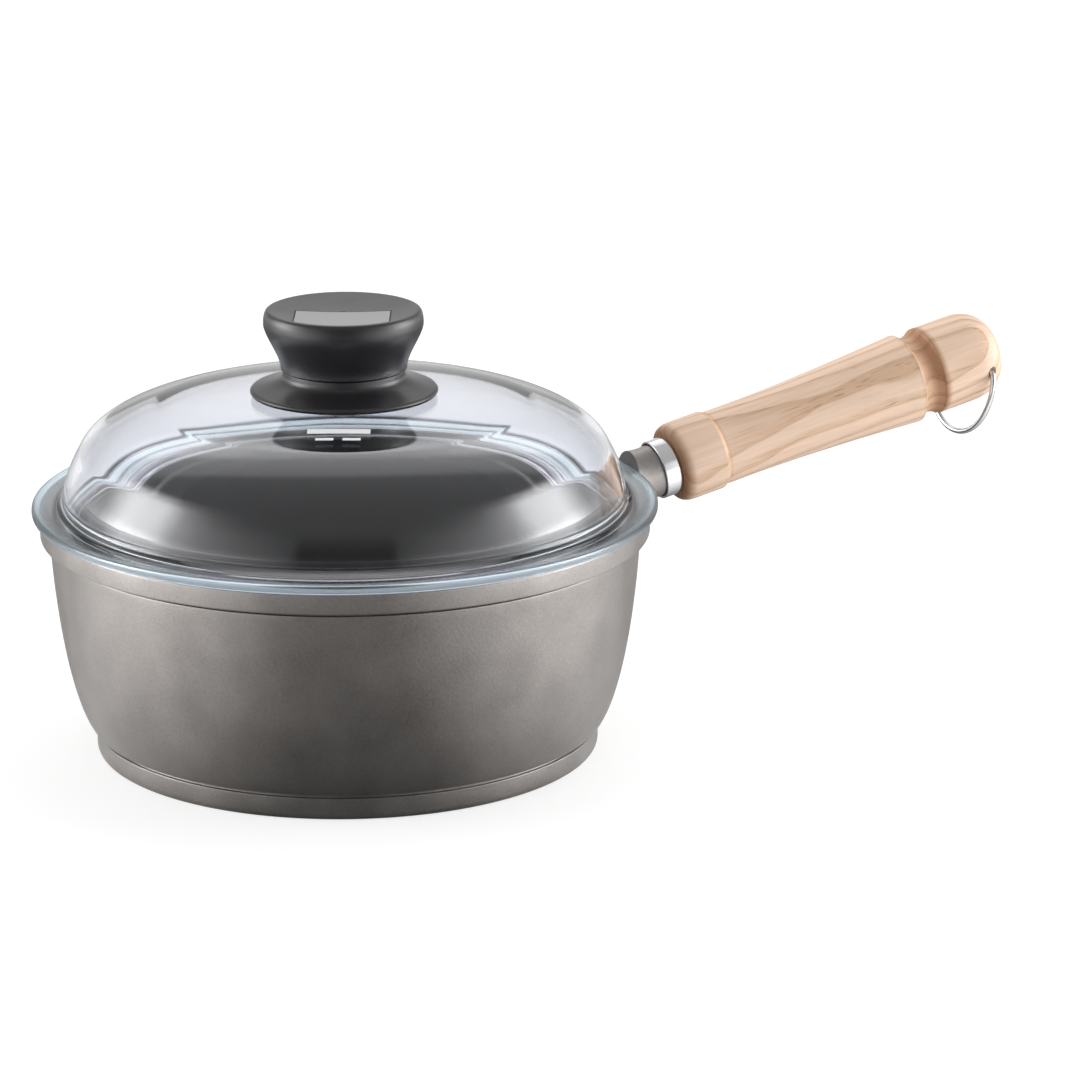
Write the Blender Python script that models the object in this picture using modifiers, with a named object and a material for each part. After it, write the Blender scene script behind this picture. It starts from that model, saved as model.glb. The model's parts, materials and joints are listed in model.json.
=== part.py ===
"""Saucepan with a domed glass lid and a turned wooden handle.

Cast aluminium pan with a cast-on handle stub, glass lid with a two-piece knob held by
one screw, and an ash handle held by a stud, with a wire hanging ring in a cross hole.
Metres, +Z up. Origin: centre of the flat underside. The handle runs out along +X.
"""
import math

import bmesh
import bpy
from mathutils import Matrix, Vector

MM = 0.001
GAP = 0.3 * MM                     # clearance between pieces that touch

# Pan casting
MOUTH_RADIUS = 100.0 * MM          # inside of the lip: the 20 cm nominal size
RIM_HEIGHT = 83.4 * MM
LIP_THICKNESS = 4.5 * MM
LIP_HEIGHT = 7.2 * MM              # of the vertical band round the rim
LIP_STEP = 3.3 * MM                # how far the band stands proud of the wall under it
WALL_THICKNESS = 3.6 * MM
WALL_LEAN = 14.4 * MM              # from the wall's top radius in to the foot's
FOOT_HEIGHT = 9.0 * MM
FOOT_STEP = 1.4 * MM               # from the foot's side out to the wall above it
FOOT_ROUND = 2.2 * MM
BASE_THICKNESS = 6.5 * MM
FLOOR_INSET = 6.8 * MM             # from the foot's radius in to the flat of the floor

# Handle axis: where it crosses the mouth radius, and how it rises
HANDLE_DROP = 4.2 * MM             # below the rim
HANDLE_TILT = math.radians(12.9)

# Handle pieces: distances along the axis run from the mouth radius outwards
STUB_END = 19.9 * MM
STUB_RADIUS = 9.35 * MM
STUB_FLARE = 3.65 * MM             # growth of the stub towards the wall
WASHER_THICKNESS = 0.9 * MM
FERRULE_OVERLAP = 1.7 * MM         # along the stub
FERRULE_LENGTH = 5.9 * MM
FERRULE_WALL = 0.75 * MM
FERRULE_CLEARANCE = 0.45 * MM      # round the stub
COLLAR_LENGTH = 17.6 * MM
COLLAR_RADIUS = 14.3 * MM
GRIP_WAIST_RADIUS = 13.45 * MM
GRIP_RADIUS = 16.35 * MM
GROOVE_WIDTH = 8.2 * MM
GROOVE_DEPTH = 2.6 * MM
CAP_LENGTH = 26.8 * MM
CAP_RADIUS = 16.0 * MM
CAP_ROUND_LENGTH = 12.0 * MM
CAP_FLAT_RADIUS = 8.0 * MM
HANDLE_END = 156.0 * MM

# Stud that screws the handle on, and its insert in the wood
STUD_RADIUS = 3.0 * MM
STUD_DEPTH = 11.9 * MM             # in the pan's stub
INSERT_WALL = 1.7 * MM
INSERT_DEPTH = 1.6 * MM            # from the collar's shoulder
INSERT_LENGTH = 18.0 * MM
STUD_TIP = 2.0 * MM                # past the insert
INSERT_DRILL_DEPTH = 6.0 * MM      # bore past the stud's tip

# Hanging ring: a wire loop whose two end pins turn in a cross hole
HOLE_FROM_END = 7.4 * MM
HOLE_RADIUS = 1.85 * MM
HOLE_ROLL = math.radians(13.0)     # near mouth sits this much below level
WIRE_RADIUS = 1.0 * MM
WIRE_CLEARANCE = 0.5 * MM          # of the loop's ends, outside the hole's mouths
RING_DROP = 10.0 * MM              # loop's centre below the hole
RING_REST = math.radians(22.5)     # leaning towards the pan, from square to the handle
PIN_LENGTH = 8.4 * MM

# Glass lid
LID_OVERHANG = 2.7 * MM            # past the pan's rim
FLANGE_THICKNESS = 3.3 * MM
GLASS_THICKNESS = 3.9 * MM
DOME_INSET = 3.8 * MM              # from the pan's mouth in to the dome's foot
DOME_FILLET = 3.2 * MM
SHOULDER_INSET = 5.6 * MM          # from the dome's foot in to the start of the shoulder
SHOULDER_RISE = 18.7 * MM          # above the flange's top
CROWN_INSET = 30.2 * MM            # from the dome's foot in to the end of the shoulder
CROWN_RISE = 33.0 * MM
DOME_RISE = 36.8 * MM
SKIRT_DEPTH = 2.4 * MM
SKIRT_CLEARANCE = 1.6 * MM         # between the skirt and the pan's mouth
LID_TURN = math.radians(-24.7)     # the lid lies turned this much about Z
GLASS_HOLE_RADIUS = 4.0 * MM
RELIEF_CLEARANCE = 0.8 * MM        # between the lid's edge and the stub

# Knob
KNOB_RADIUS = 27.3 * MM
KNOB_TOP_INSET = 1.9 * MM
KNOB_NECK_RADIUS = 21.6 * MM
KNOB_HEIGHT = 20.4 * MM
KNOB_DISH = 1.2 * MM
KNOB_BASE_RADIUS = 32.2 * MM
KNOB_BASE_HEIGHT = 8.6 * MM
KNOB_BASE_STEP = 0.7 * MM          # from the knob's neck in to the base's
BADGE_WIDTH = 32.0 * MM
BADGE_RIM_MARGIN = 1.2 * MM        # from the badge's round edge to the knob's top edge
BADGE_THICKNESS = 0.9 * MM
GASKET_RADIUS = 12.0 * MM
GASKET_THICKNESS = 1.0 * MM
SCREW_RADIUS = 2.0 * MM
SCREW_CLEARANCE = 0.35 * MM
SCREW_HEAD_RADIUS = 4.0 * MM
SCREW_HEAD_HEIGHT = 2.6 * MM
SCREW_SLOT = 1.1 * MM
LOWER_GASKET_RADIUS = 9.0 * MM
LOWER_WASHER_RADIUS = 8.0 * MM
LOWER_WASHER_THICKNESS = 1.1 * MM
SPRING_WASHER_RADIUS = 3.9 * MM
SPRING_WASHER_THICKNESS = 0.8 * MM
KNOB_INSERT_WALL = 2.15 * MM
KNOB_INSERT_LENGTH = 12.0 * MM

# Facets round a full turn
STEPS_LARGE = 48
STEPS_MEDIUM = 32
STEPS_SMALL = 20

# Radii that follow from the sizes above
RIM_RADIUS = MOUTH_RADIUS + LIP_THICKNESS
WALL_TOP_RADIUS = RIM_RADIUS - LIP_STEP
FOOT_RADIUS = WALL_TOP_RADIUS - WALL_LEAN
LID_RADIUS = RIM_RADIUS + LID_OVERHANG
DOME_RADIUS = MOUTH_RADIUS - DOME_INSET
FERRULE_INNER_RADIUS = STUB_RADIUS + FERRULE_CLEARANCE
INSERT_RADIUS = STUD_RADIUS + GAP + INSERT_WALL
SCREW_BORE_RADIUS = SCREW_RADIUS + SCREW_CLEARANCE
KNOB_INSERT_RADIUS = SCREW_BORE_RADIUS + KNOB_INSERT_WALL
KNOB_TOP_RADIUS = KNOB_RADIUS - KNOB_TOP_INSET

# Distances along the handle axis that follow from the sizes above
WASHER_START = STUB_END + GAP
TENON_START = WASHER_START + WASHER_THICKNESS + GAP
FERRULE_START = STUB_END - FERRULE_OVERLAP
COLLAR_START = FERRULE_START + FERRULE_LENGTH + GAP
COLLAR_END = COLLAR_START + COLLAR_LENGTH
INSERT_START = COLLAR_START + INSERT_DEPTH
INSERT_END = INSERT_START + INSERT_LENGTH
CAP_START = HANDLE_END - CAP_LENGTH
GROOVE_START = CAP_START - GROOVE_WIDTH
HOLE_PLACE = HANDLE_END - HOLE_FROM_END

# Heights that follow from the sizes above
LIP_BOTTOM = RIM_HEIGHT - LIP_HEIGHT
FLANGE_BOTTOM = RIM_HEIGHT + GAP
FLANGE_TOP = FLANGE_BOTTOM + FLANGE_THICKNESS
DOME_TOP = FLANGE_TOP + DOME_RISE
GLASS_UNDERSIDE = DOME_TOP - GLASS_THICKNESS
KNOB_BASE_BOTTOM = DOME_TOP + GAP
KNOB_BASE_TOP = KNOB_BASE_BOTTOM + KNOB_BASE_HEIGHT
KNOB_BOTTOM = KNOB_BASE_TOP + GAP
KNOB_TOP = KNOB_BOTTOM + KNOB_HEIGHT

HANDLE_ROOT = Vector((MOUTH_RADIUS, 0.0, RIM_HEIGHT - HANDLE_DROP))
HANDLE_DIRECTION = Vector((math.cos(HANDLE_TILT), 0.0, math.sin(HANDLE_TILT)))
# Turned pieces are made round +Z; this lays them along the handle axis.
HANDLE_FRAME = (Matrix.Translation(HANDLE_ROOT)
                @ Matrix.Rotation(math.pi / 2 - HANDLE_TILT, 4, "Y"))
LID_FRAME = Matrix.Rotation(LID_TURN, 4, "Z")


# ---------------------------------------------------------------- helpers
def clear_scene():
    """Remove what the scene holds."""
    for obj in list(bpy.data.objects):
        bpy.data.objects.remove(obj, do_unlink=True)


def new_collection(name):
    """A collection linked under the scene's own."""
    collection = bpy.data.collections.new(name)
    bpy.context.scene.collection.children.link(collection)
    return collection


def material(name, color, roughness, metallic=0.0, transmission=0.0):
    """A Principled material in one linear colour."""
    mat = bpy.data.materials.new(name)
    mat.use_nodes = True
    shader = mat.node_tree.nodes["Principled BSDF"]
    shader.inputs["Base Color"].default_value = (*color, 1.0)
    shader.inputs["Roughness"].default_value = roughness
    shader.inputs["Metallic"].default_value = metallic
    shader.inputs["Transmission Weight"].default_value = transmission
    mat.diffuse_color = (*color, 1.0)
    return mat


def bezier(start, control_a, control_b, end, count):
    """Points along a cubic curve in the (radius, height) plane, ends included."""
    points = []
    for i in range(count + 1):
        t = i / count
        weights = ((1 - t) ** 3, 3 * t * (1 - t) ** 2, 3 * t * t * (1 - t), t ** 3)
        corners = (start, control_a, control_b, end)
        points.append(tuple(sum(w * c[k] for w, c in zip(weights, corners)) for k in (0, 1)))
    return points


def arc(center, radius, start, end, count):
    """Points on a circle in the (radius, height) plane, angles in degrees."""
    points = []
    for i in range(count + 1):
        angle = math.radians(start + (end - start) * i / count)
        points.append((center[0] + radius * math.cos(angle), center[1] + radius * math.sin(angle)))
    return points


def without_repeats(points):
    """Drop a point that lies on the one before it."""
    kept = [points[0]]
    for point in points[1:]:
        if math.dist(point, kept[-1]) > 1e-6:
            kept.append(point)
    if math.dist(kept[0], kept[-1]) < 1e-6:
        kept.pop()
    return kept


def turned(name, profile, steps, frame=Matrix.Identity(4)):
    """A solid of revolution: a closed (radius, height) outline carried round +Z.

    The outline runs down its outer side. Points with no radius lie on the axis.
    """
    mesh = bpy.data.meshes.new(name)
    shape = bmesh.new()
    points = without_repeats(profile)
    verts = [shape.verts.new((r, 0.0, z)) for r, z in points]
    for i, vert in enumerate(verts):
        follower = verts[(i + 1) % len(verts)]
        if points[i][0] > 0.0 or points[(i + 1) % len(verts)][0] > 0.0:
            shape.edges.new((vert, follower))
    shape.to_mesh(mesh)
    shape.free()
    obj = bpy.data.objects.new(name, mesh)
    PARTS.objects.link(obj)
    screw = obj.modifiers.new("turn", "SCREW")
    screw.axis = "Z"
    screw.angle = 2 * math.pi
    screw.steps = steps
    screw.render_steps = steps
    screw.use_merge_vertices = True
    screw.merge_threshold = 0.00001
    screw.use_smooth_shade = True
    obj.matrix_world = frame
    return obj


def as_mesh(obj):
    """Replace an object's modifiers, or its curve, by the closed mesh that they make."""
    bpy.context.view_layer.update()
    graph = bpy.context.evaluated_depsgraph_get()
    mesh = bpy.data.meshes.new_from_object(obj.evaluated_get(graph))
    shape = bmesh.new()
    shape.from_mesh(mesh)
    bmesh.ops.remove_doubles(shape, verts=shape.verts, dist=0.000005)
    shape.to_mesh(mesh)
    shape.free()
    name, matrix, collections = obj.name, obj.matrix_world.copy(), list(obj.users_collection)
    bpy.data.objects.remove(obj, do_unlink=True)
    solid = bpy.data.objects.new(name, mesh)
    solid.matrix_world = matrix
    for collection in collections:
        collection.objects.link(solid)
    return solid


def as_cutter(obj):
    """Keep an object as a hidden tool for a Boolean."""
    for collection in list(obj.users_collection):
        collection.objects.unlink(obj)
    CUTTERS.objects.link(obj)
    obj.hide_render = True
    obj.display_type = "WIRE"
    return obj


def combine(obj, other, operation):
    """Join or cut one solid with another, live."""
    step = obj.modifiers.new(operation.lower(), "BOOLEAN")
    step.operation = operation
    step.object = as_cutter(other)


def finish(obj, mat, smooth_angle=math.radians(35)):
    """Bake a solid's modifiers, shade it and give it its material."""
    solid = as_mesh(obj)
    solid.data.shade_smooth()
    solid.data.set_sharp_from_angle(angle=smooth_angle)
    solid.data.materials.clear()
    solid.data.materials.append(mat)
    return solid


def rod(name, radius, start, end, steps, frame=Matrix.Identity(4)):
    """A plain round bar between two heights."""
    return turned(name, [(0, end), (radius, end), (radius, start), (0, start)], steps, frame)


def tube(name, outer, inner, start, end, steps, frame=Matrix.Identity(4)):
    """A plain sleeve or washer between two heights."""
    outline = [(outer, end), (outer, start), (inner, start), (inner, end)]
    return turned(name, outline, steps, frame)


# ---------------------------------------------------------------- pan
def wall_curve(count):
    """The wall's outer side, from the lip down to the foot."""
    foot = FOOT_RADIUS + FOOT_STEP
    spread = WALL_TOP_RADIUS - foot
    height = LIP_BOTTOM - FOOT_HEIGHT
    return bezier((WALL_TOP_RADIUS, LIP_BOTTOM),
                  (WALL_TOP_RADIUS - 0.12 * spread, FOOT_HEIGHT + 0.54 * height),
                  (foot + 0.48 * spread, FOOT_HEIGHT + 0.12 * height),
                  (foot, FOOT_HEIGHT + 0.4 * MM), count)


def make_pan():
    """Cast body: foot, curved wall, lip band and handle stub in one casting."""
    edge = 0.7 * MM
    outline = [(0, RIM_HEIGHT), (RIM_RADIUS - edge, RIM_HEIGHT)]
    outline += arc((RIM_RADIUS - edge, RIM_HEIGHT - edge), edge, 90, 0, 3)
    outline += [(RIM_RADIUS, LIP_BOTTOM + edge), (RIM_RADIUS - edge, LIP_BOTTOM)]
    outline += wall_curve(9)
    outline += [(FOOT_RADIUS - 0.4 * MM, FOOT_HEIGHT), (FOOT_RADIUS, FOOT_HEIGHT - 0.8 * MM)]
    outline += arc((FOOT_RADIUS - FOOT_ROUND, FOOT_ROUND), FOOT_ROUND, 0, -90, 4)
    outline += [(0, 0)]
    pan = turned("pan_body", outline, STEPS_LARGE)

    root = -6.0 * MM
    stub_root = STUB_RADIUS + STUB_FLARE
    neck = [(0, STUB_END), (STUB_RADIUS - 0.5 * MM, STUB_END), (STUB_RADIUS, STUB_END - 0.5 * MM)]
    neck += bezier((STUB_RADIUS, 0.78 * STUB_END), (STUB_RADIUS, 0.5 * STUB_END),
                   (stub_root - 2 * MM, 0.25 * STUB_END), (stub_root, 0), 5)
    neck += [(stub_root, root), (0, root)]
    combine(pan, turned("stub", neck, STEPS_SMALL, HANDLE_FRAME), "UNION")

    inside = WALL_TOP_RADIUS - WALL_THICKNESS
    above = RIM_HEIGHT + 40 * MM
    ledge = LIP_BOTTOM - 1.5 * MM
    cavity = [(0, above), (MOUTH_RADIUS, above), (MOUTH_RADIUS, LIP_BOTTOM + 2 * MM)]
    cavity += bezier((MOUTH_RADIUS, LIP_BOTTOM + 2 * MM), (MOUTH_RADIUS, LIP_BOTTOM),
                     (inside, LIP_BOTTOM), (inside, ledge), 3)
    floor_edge = FOOT_RADIUS - FLOOR_INSET
    cavity += bezier((inside, ledge), (inside - 2.1 * MM, 0.53 * ledge),
                     (floor_edge + 10.5 * MM, BASE_THICKNESS + 1.5 * MM),
                     (floor_edge, BASE_THICKNESS), 9)
    cavity += [(0, BASE_THICKNESS)]
    combine(pan, turned("cavity", cavity, STEPS_LARGE), "DIFFERENCE")

    # The stub is relieved where the lid's flange sits over it.
    relief = rod("lid_relief", LID_RADIUS + RELIEF_CLEARANCE, RIM_HEIGHT, above, STEPS_LARGE)
    combine(pan, relief, "DIFFERENCE")
    bore = rod("stud_bore", STUD_RADIUS + GAP, STUB_END - STUD_DEPTH - GAP, STUB_END + 5 * MM,
               STEPS_SMALL, HANDLE_FRAME)
    combine(pan, bore, "DIFFERENCE")
    finish(pan, material("pan_coating", (0.26, 0.24, 0.225), 0.42, 0.55))


# ---------------------------------------------------------------- handle
def make_handle_hardware():
    """Spring washer, ferrule, stud and threaded insert, all round the handle axis."""
    washer = tube("handle_washer", STUB_RADIUS - 0.6 * MM, STUD_RADIUS + GAP, WASHER_START,
                  WASHER_START + WASHER_THICKNESS, STEPS_SMALL, HANDLE_FRAME)
    finish(washer, material("spring_steel", (0.30, 0.30, 0.31), 0.45, 0.9))

    inner = FERRULE_INNER_RADIUS
    sleeve = inner + FERRULE_WALL
    end = FERRULE_START + FERRULE_LENGTH
    rounding = 0.3 * MM
    outline = [(sleeve, end), (sleeve, FERRULE_START + rounding),
               (sleeve - rounding, FERRULE_START), (inner, FERRULE_START), (inner, end)]
    finish(turned("ferrule", outline, STEPS_MEDIUM, HANDLE_FRAME),
           material("polished_steel", (0.72, 0.72, 0.73), 0.16, 1.0))

    finish(rod("handle_stud", STUD_RADIUS, STUB_END - STUD_DEPTH, INSERT_END + STUD_TIP,
               STEPS_SMALL, HANDLE_FRAME),
           material("zinc_steel", (0.55, 0.55, 0.56), 0.35, 1.0))
    finish(tube("handle_insert", INSERT_RADIUS, STUD_RADIUS + GAP, INSERT_START, INSERT_END,
                STEPS_SMALL, HANDLE_FRAME),
           material("insert_brass", (0.62, 0.46, 0.20), 0.35, 1.0))


def make_grip():
    """Turned ash handle: tenon, collar, tapered grip, cove and round-ended cap."""
    tenon = FERRULE_INNER_RADIUS - GAP
    bore = INSERT_RADIUS + GAP
    bore_end = INSERT_END + GAP
    tip_end = INSERT_END + STUD_TIP + INSERT_DRILL_DEPTH
    nose = 5.0 * MM
    groove_floor = GRIP_RADIUS - GROOVE_DEPTH
    grip_length = GROOVE_START - COLLAR_END

    outline = [(0, tip_end), (STUD_RADIUS + GAP, tip_end), (STUD_RADIUS + GAP, bore_end),
               (bore, bore_end), (bore, TENON_START), (tenon, TENON_START), (tenon, COLLAR_START)]
    outline += bezier((COLLAR_RADIUS - 2.6 * MM, COLLAR_START),
                      (COLLAR_RADIUS - 0.9 * MM, COLLAR_START),
                      (COLLAR_RADIUS, COLLAR_START + 0.4 * nose),
                      (COLLAR_RADIUS, COLLAR_START + nose), 4)
    outline += bezier((COLLAR_RADIUS, COLLAR_END - 1.5 * MM), (COLLAR_RADIUS, COLLAR_END - 0.2 * MM),
                      (GRIP_WAIST_RADIUS, COLLAR_END - 0.1 * MM),
                      (GRIP_WAIST_RADIUS, COLLAR_END + 1 * MM), 3)
    outline += bezier((GRIP_WAIST_RADIUS, COLLAR_END + 2 * MM),
                      (GRIP_WAIST_RADIUS - 0.25 * MM, COLLAR_END + 0.36 * grip_length),
                      (0.6 * GRIP_WAIST_RADIUS + 0.4 * GRIP_RADIUS, COLLAR_END + 0.67 * grip_length),
                      (GRIP_RADIUS, GROOVE_START - 0.8 * MM), 7)
    outline += [(GRIP_RADIUS - 0.4 * MM, GROOVE_START)]
    outline += bezier((GRIP_RADIUS - 1.0 * MM, GROOVE_START + 0.2 * MM),
                      (groove_floor, GROOVE_START + 1.2 * MM),
                      (groove_floor, CAP_START - 3.2 * MM),
                      (CAP_RADIUS - 0.5 * MM, CAP_START - 0.4 * MM), 5)
    outline += [(CAP_RADIUS, CAP_START + 0.6 * MM)]
    round_start = HANDLE_END - CAP_ROUND_LENGTH
    for i in range(7):
        place = round_start + CAP_ROUND_LENGTH * math.sin(math.radians(90 * i / 6))
        outline.append((cap_radius_at(place), place))
    outline += [(0, HANDLE_END)]
    # The outline above climbs its outer side, so it is turned round to run down it.
    grip = turned("handle_grip", outline[::-1], STEPS_MEDIUM, HANDLE_FRAME)

    hole = rod("ring_hole", HOLE_RADIUS, -30 * MM, 30 * MM, STEPS_SMALL)
    hole.matrix_world = ring_frame()
    combine(grip, hole, "DIFFERENCE")
    finish(grip, material("ash_wood", (0.62, 0.44, 0.29), 0.5))


def cap_radius_at(place):
    """The cap's radius at a distance along the axis: an elliptical round down to its end face."""
    share = max(0.0, 1 - (HANDLE_END - place) / CAP_ROUND_LENGTH)
    return CAP_FLAT_RADIUS + (CAP_RADIUS - CAP_FLAT_RADIUS) * math.sqrt(max(0.0, 1 - share * share))


def ring_frame():
    """The cross hole's frame: +Z along the hole, towards its near mouth."""
    along = Vector((0, -1, 0))
    square_down = HANDLE_DIRECTION.cross(along)
    if square_down.z > 0:
        square_down = -square_down
    hole = along * math.cos(HOLE_ROLL) + square_down * math.sin(HOLE_ROLL)
    down = hole.cross(HANDLE_DIRECTION).normalized()
    if down.z > 0:
        down = -down
    hang = down * math.cos(RING_REST) - HANDLE_DIRECTION * math.sin(RING_REST)
    side = hang.cross(hole)
    center = HANDLE_ROOT + HANDLE_DIRECTION * HOLE_PLACE
    frame = Matrix((hang, side, hole)).transposed().to_4x4()
    frame.translation = center
    if frame.to_3x3().determinant() < 0:
        frame = frame @ Matrix.Scale(-1, 4, Vector((0, 1, 0)))
    return frame


def make_ring():
    """Steel wire loop: an arc that hangs below the hole, and two pins bent into it."""
    mouth = cap_radius_at(HOLE_PLACE) + WIRE_CLEARANCE
    radius = math.hypot(mouth, RING_DROP)
    opening = math.pi - math.atan2(mouth, RING_DROP)
    bend = 0.10
    count = 36
    loop = []
    for i in range(count + 1):
        angle = (opening - bend) * (1 - 2 * i / count)
        loop.append((RING_DROP + radius * math.cos(angle), radius * math.sin(angle)))
    pin_end = 0.97 * mouth
    near = [(0.0, pin_end - PIN_LENGTH), (0.0, pin_end - PIN_LENGTH / 2), (0.0, pin_end)]
    far = [(x, -z) for x, z in near]
    path = near + loop + far[::-1]

    curve = bpy.data.curves.new("hanging_ring", "CURVE")
    curve.dimensions = "3D"
    curve.bevel_depth = WIRE_RADIUS
    curve.bevel_resolution = 2
    curve.use_fill_caps = True
    spline = curve.splines.new("POLY")
    spline.points.add(len(path) - 1)
    for point, (hang, hole) in zip(spline.points, path):
        point.co = (hang, 0.0, hole, 1.0)
    ring = bpy.data.objects.new("hanging_ring", curve)
    PARTS.objects.link(ring)
    ring.matrix_world = ring_frame()
    finish(ring, material("ring_steel", (0.62, 0.62, 0.64), 0.25, 1.0))


# ---------------------------------------------------------------- lid
def dome_curve(depth):
    """The dome from its foot to its crown; depth moves it inwards, square to the surface."""
    foot = (DOME_RADIUS, FLANGE_TOP + DOME_FILLET)
    shoulder = (DOME_RADIUS - SHOULDER_INSET, FLANGE_TOP + SHOULDER_RISE)
    crown = (DOME_RADIUS - CROWN_INSET, FLANGE_TOP + CROWN_RISE)
    lean = (-0.46, 0.887)
    slope = (-0.968, 0.25)
    run = CROWN_INSET
    points = bezier(foot, (foot[0], foot[1] + 5 * MM),
                    (shoulder[0] - 5 * MM * lean[0], shoulder[1] - 5 * MM * lean[1]), shoulder, 3)
    points += bezier(shoulder, (shoulder[0] + 0.30 * run * lean[0], shoulder[1] + 0.30 * run * lean[1]),
                     (crown[0] - 0.33 * run * slope[0], crown[1] - 0.33 * run * slope[1]), crown, 6)
    points += bezier(crown, (crown[0] + 10 * MM * slope[0], crown[1] + 10 * MM * slope[1]),
                     (0.45 * crown[0], DOME_TOP), (GLASS_HOLE_RADIUS, DOME_TOP), 4)
    points = without_repeats(points)
    if depth == 0:
        return points
    moved = []
    for i, point in enumerate(points):
        before = points[max(i - 1, 0)]
        after = points[min(i + 1, len(points) - 1)]
        step = (after[0] - before[0], after[1] - before[1])
        length = math.hypot(*step)
        moved.append((point[0] - depth * step[1] / length, point[1] + depth * step[0] / length))
    moved[-1] = (GLASS_HOLE_RADIUS, DOME_TOP - depth)
    return moved


def make_lid_glass():
    """Pressed glass: flat flange, short locating skirt and dome, with the screw's hole."""
    half = FLANGE_THICKNESS / 2
    skirt = MOUTH_RADIUS - SKIRT_CLEARANCE
    outer = dome_curve(0.0)
    inner = dome_curve(GLASS_THICKNESS)
    outline = outer[::-1]
    outline += arc((DOME_RADIUS + DOME_FILLET, FLANGE_TOP + DOME_FILLET), DOME_FILLET, 205, 270, 3)
    outline += arc((LID_RADIUS - half, FLANGE_TOP - half), half, 90, -90, 4)
    outline += [(skirt, FLANGE_BOTTOM), (skirt - 0.3 * MM, FLANGE_BOTTOM - SKIRT_DEPTH + 0.5 * MM),
                (skirt - 1.0 * MM, FLANGE_BOTTOM - SKIRT_DEPTH),
                (inner[0][0] + 0.9 * MM, FLANGE_BOTTOM - SKIRT_DEPTH),
                (inner[0][0], FLANGE_BOTTOM - SKIRT_DEPTH + 0.9 * MM)]
    outline += inner
    finish(turned("lid_glass", outline, STEPS_LARGE, LID_FRAME),
           material("clear_glass", (0.86, 0.92, 0.95), 0.03, 0.0, 1.0))


def make_knob():
    """Knob in two pieces, moulded black: the grip and the flared base under it."""
    top_edge = 1.9 * MM
    widest = KNOB_BOTTOM + 0.75 * KNOB_HEIGHT
    bore = KNOB_INSERT_RADIUS + GAP
    dish = [(KNOB_TOP_RADIUS * i / 4, KNOB_TOP - KNOB_DISH * (1 - (i / 4) ** 2)) for i in range(5)]
    outline = dish[:-1]
    outline += bezier((KNOB_TOP_RADIUS, KNOB_TOP), (KNOB_RADIUS - 0.5 * MM, KNOB_TOP),
                      (KNOB_RADIUS, KNOB_TOP - top_edge), (KNOB_RADIUS, widest), 4)
    outline += bezier((KNOB_RADIUS, widest), (KNOB_RADIUS - 0.5 * MM, widest - 4 * MM),
                      (KNOB_NECK_RADIUS + 0.2 * MM, KNOB_BOTTOM + 0.25 * KNOB_HEIGHT),
                      (KNOB_NECK_RADIUS, KNOB_BOTTOM + 0.6 * MM), 5)
    outline += [(KNOB_NECK_RADIUS - 0.6 * MM, KNOB_BOTTOM), (bore, KNOB_BOTTOM),
                (bore, KNOB_BOTTOM + KNOB_INSERT_LENGTH + 2 * GAP),
                (0, KNOB_BOTTOM + KNOB_INSERT_LENGTH + 2 * GAP)]
    knob = turned("knob", outline, STEPS_MEDIUM, LID_FRAME)
    combine(knob, badge_blank("badge_pocket", GAP, 3 * MM), "DIFFERENCE")
    phenolic = material("black_phenolic", (0.022, 0.021, 0.023), 0.42)
    finish(knob, phenolic)

    badge = badge_blank("knob_badge", 0.0, 3 * MM)
    combine(badge, turned("dish", dish + [(KNOB_TOP_RADIUS, KNOB_BOTTOM), (0, KNOB_BOTTOM)],
                          STEPS_MEDIUM, LID_FRAME), "INTERSECT")
    finish(badge, material("badge_satin", (0.34, 0.34, 0.35), 0.4, 0.8))

    bore = SCREW_BORE_RADIUS
    seat = KNOB_BASE_BOTTOM + GASKET_THICKNESS + GAP
    neck = KNOB_NECK_RADIUS - KNOB_BASE_STEP
    recess = GASKET_RADIUS + 2 * GAP
    outline = [(bore, KNOB_BASE_TOP), (neck - 0.5 * MM, KNOB_BASE_TOP),
               (neck, KNOB_BASE_TOP - 0.5 * MM), (neck, KNOB_BASE_TOP - 1.5 * MM)]
    outline += bezier((neck - 0.5 * MM, KNOB_BASE_TOP - 2.2 * MM),
                      (neck + 0.4 * MM, KNOB_BASE_TOP - 4.6 * MM),
                      (KNOB_BASE_RADIUS - 6 * MM, KNOB_BASE_BOTTOM + 3.0 * MM),
                      (KNOB_BASE_RADIUS - 0.6 * MM, KNOB_BASE_BOTTOM + 1.9 * MM), 5)
    outline += [(KNOB_BASE_RADIUS, KNOB_BASE_BOTTOM + 1.0 * MM),
                (KNOB_BASE_RADIUS - 0.6 * MM, KNOB_BASE_BOTTOM + 0.1 * MM),
                (KNOB_BASE_RADIUS - 1.6 * MM, KNOB_BASE_BOTTOM),
                (recess, KNOB_BASE_BOTTOM), (recess, seat), (bore, seat)]
    finish(turned("knob_base", outline, STEPS_MEDIUM, LID_FRAME), phenolic)


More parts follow.
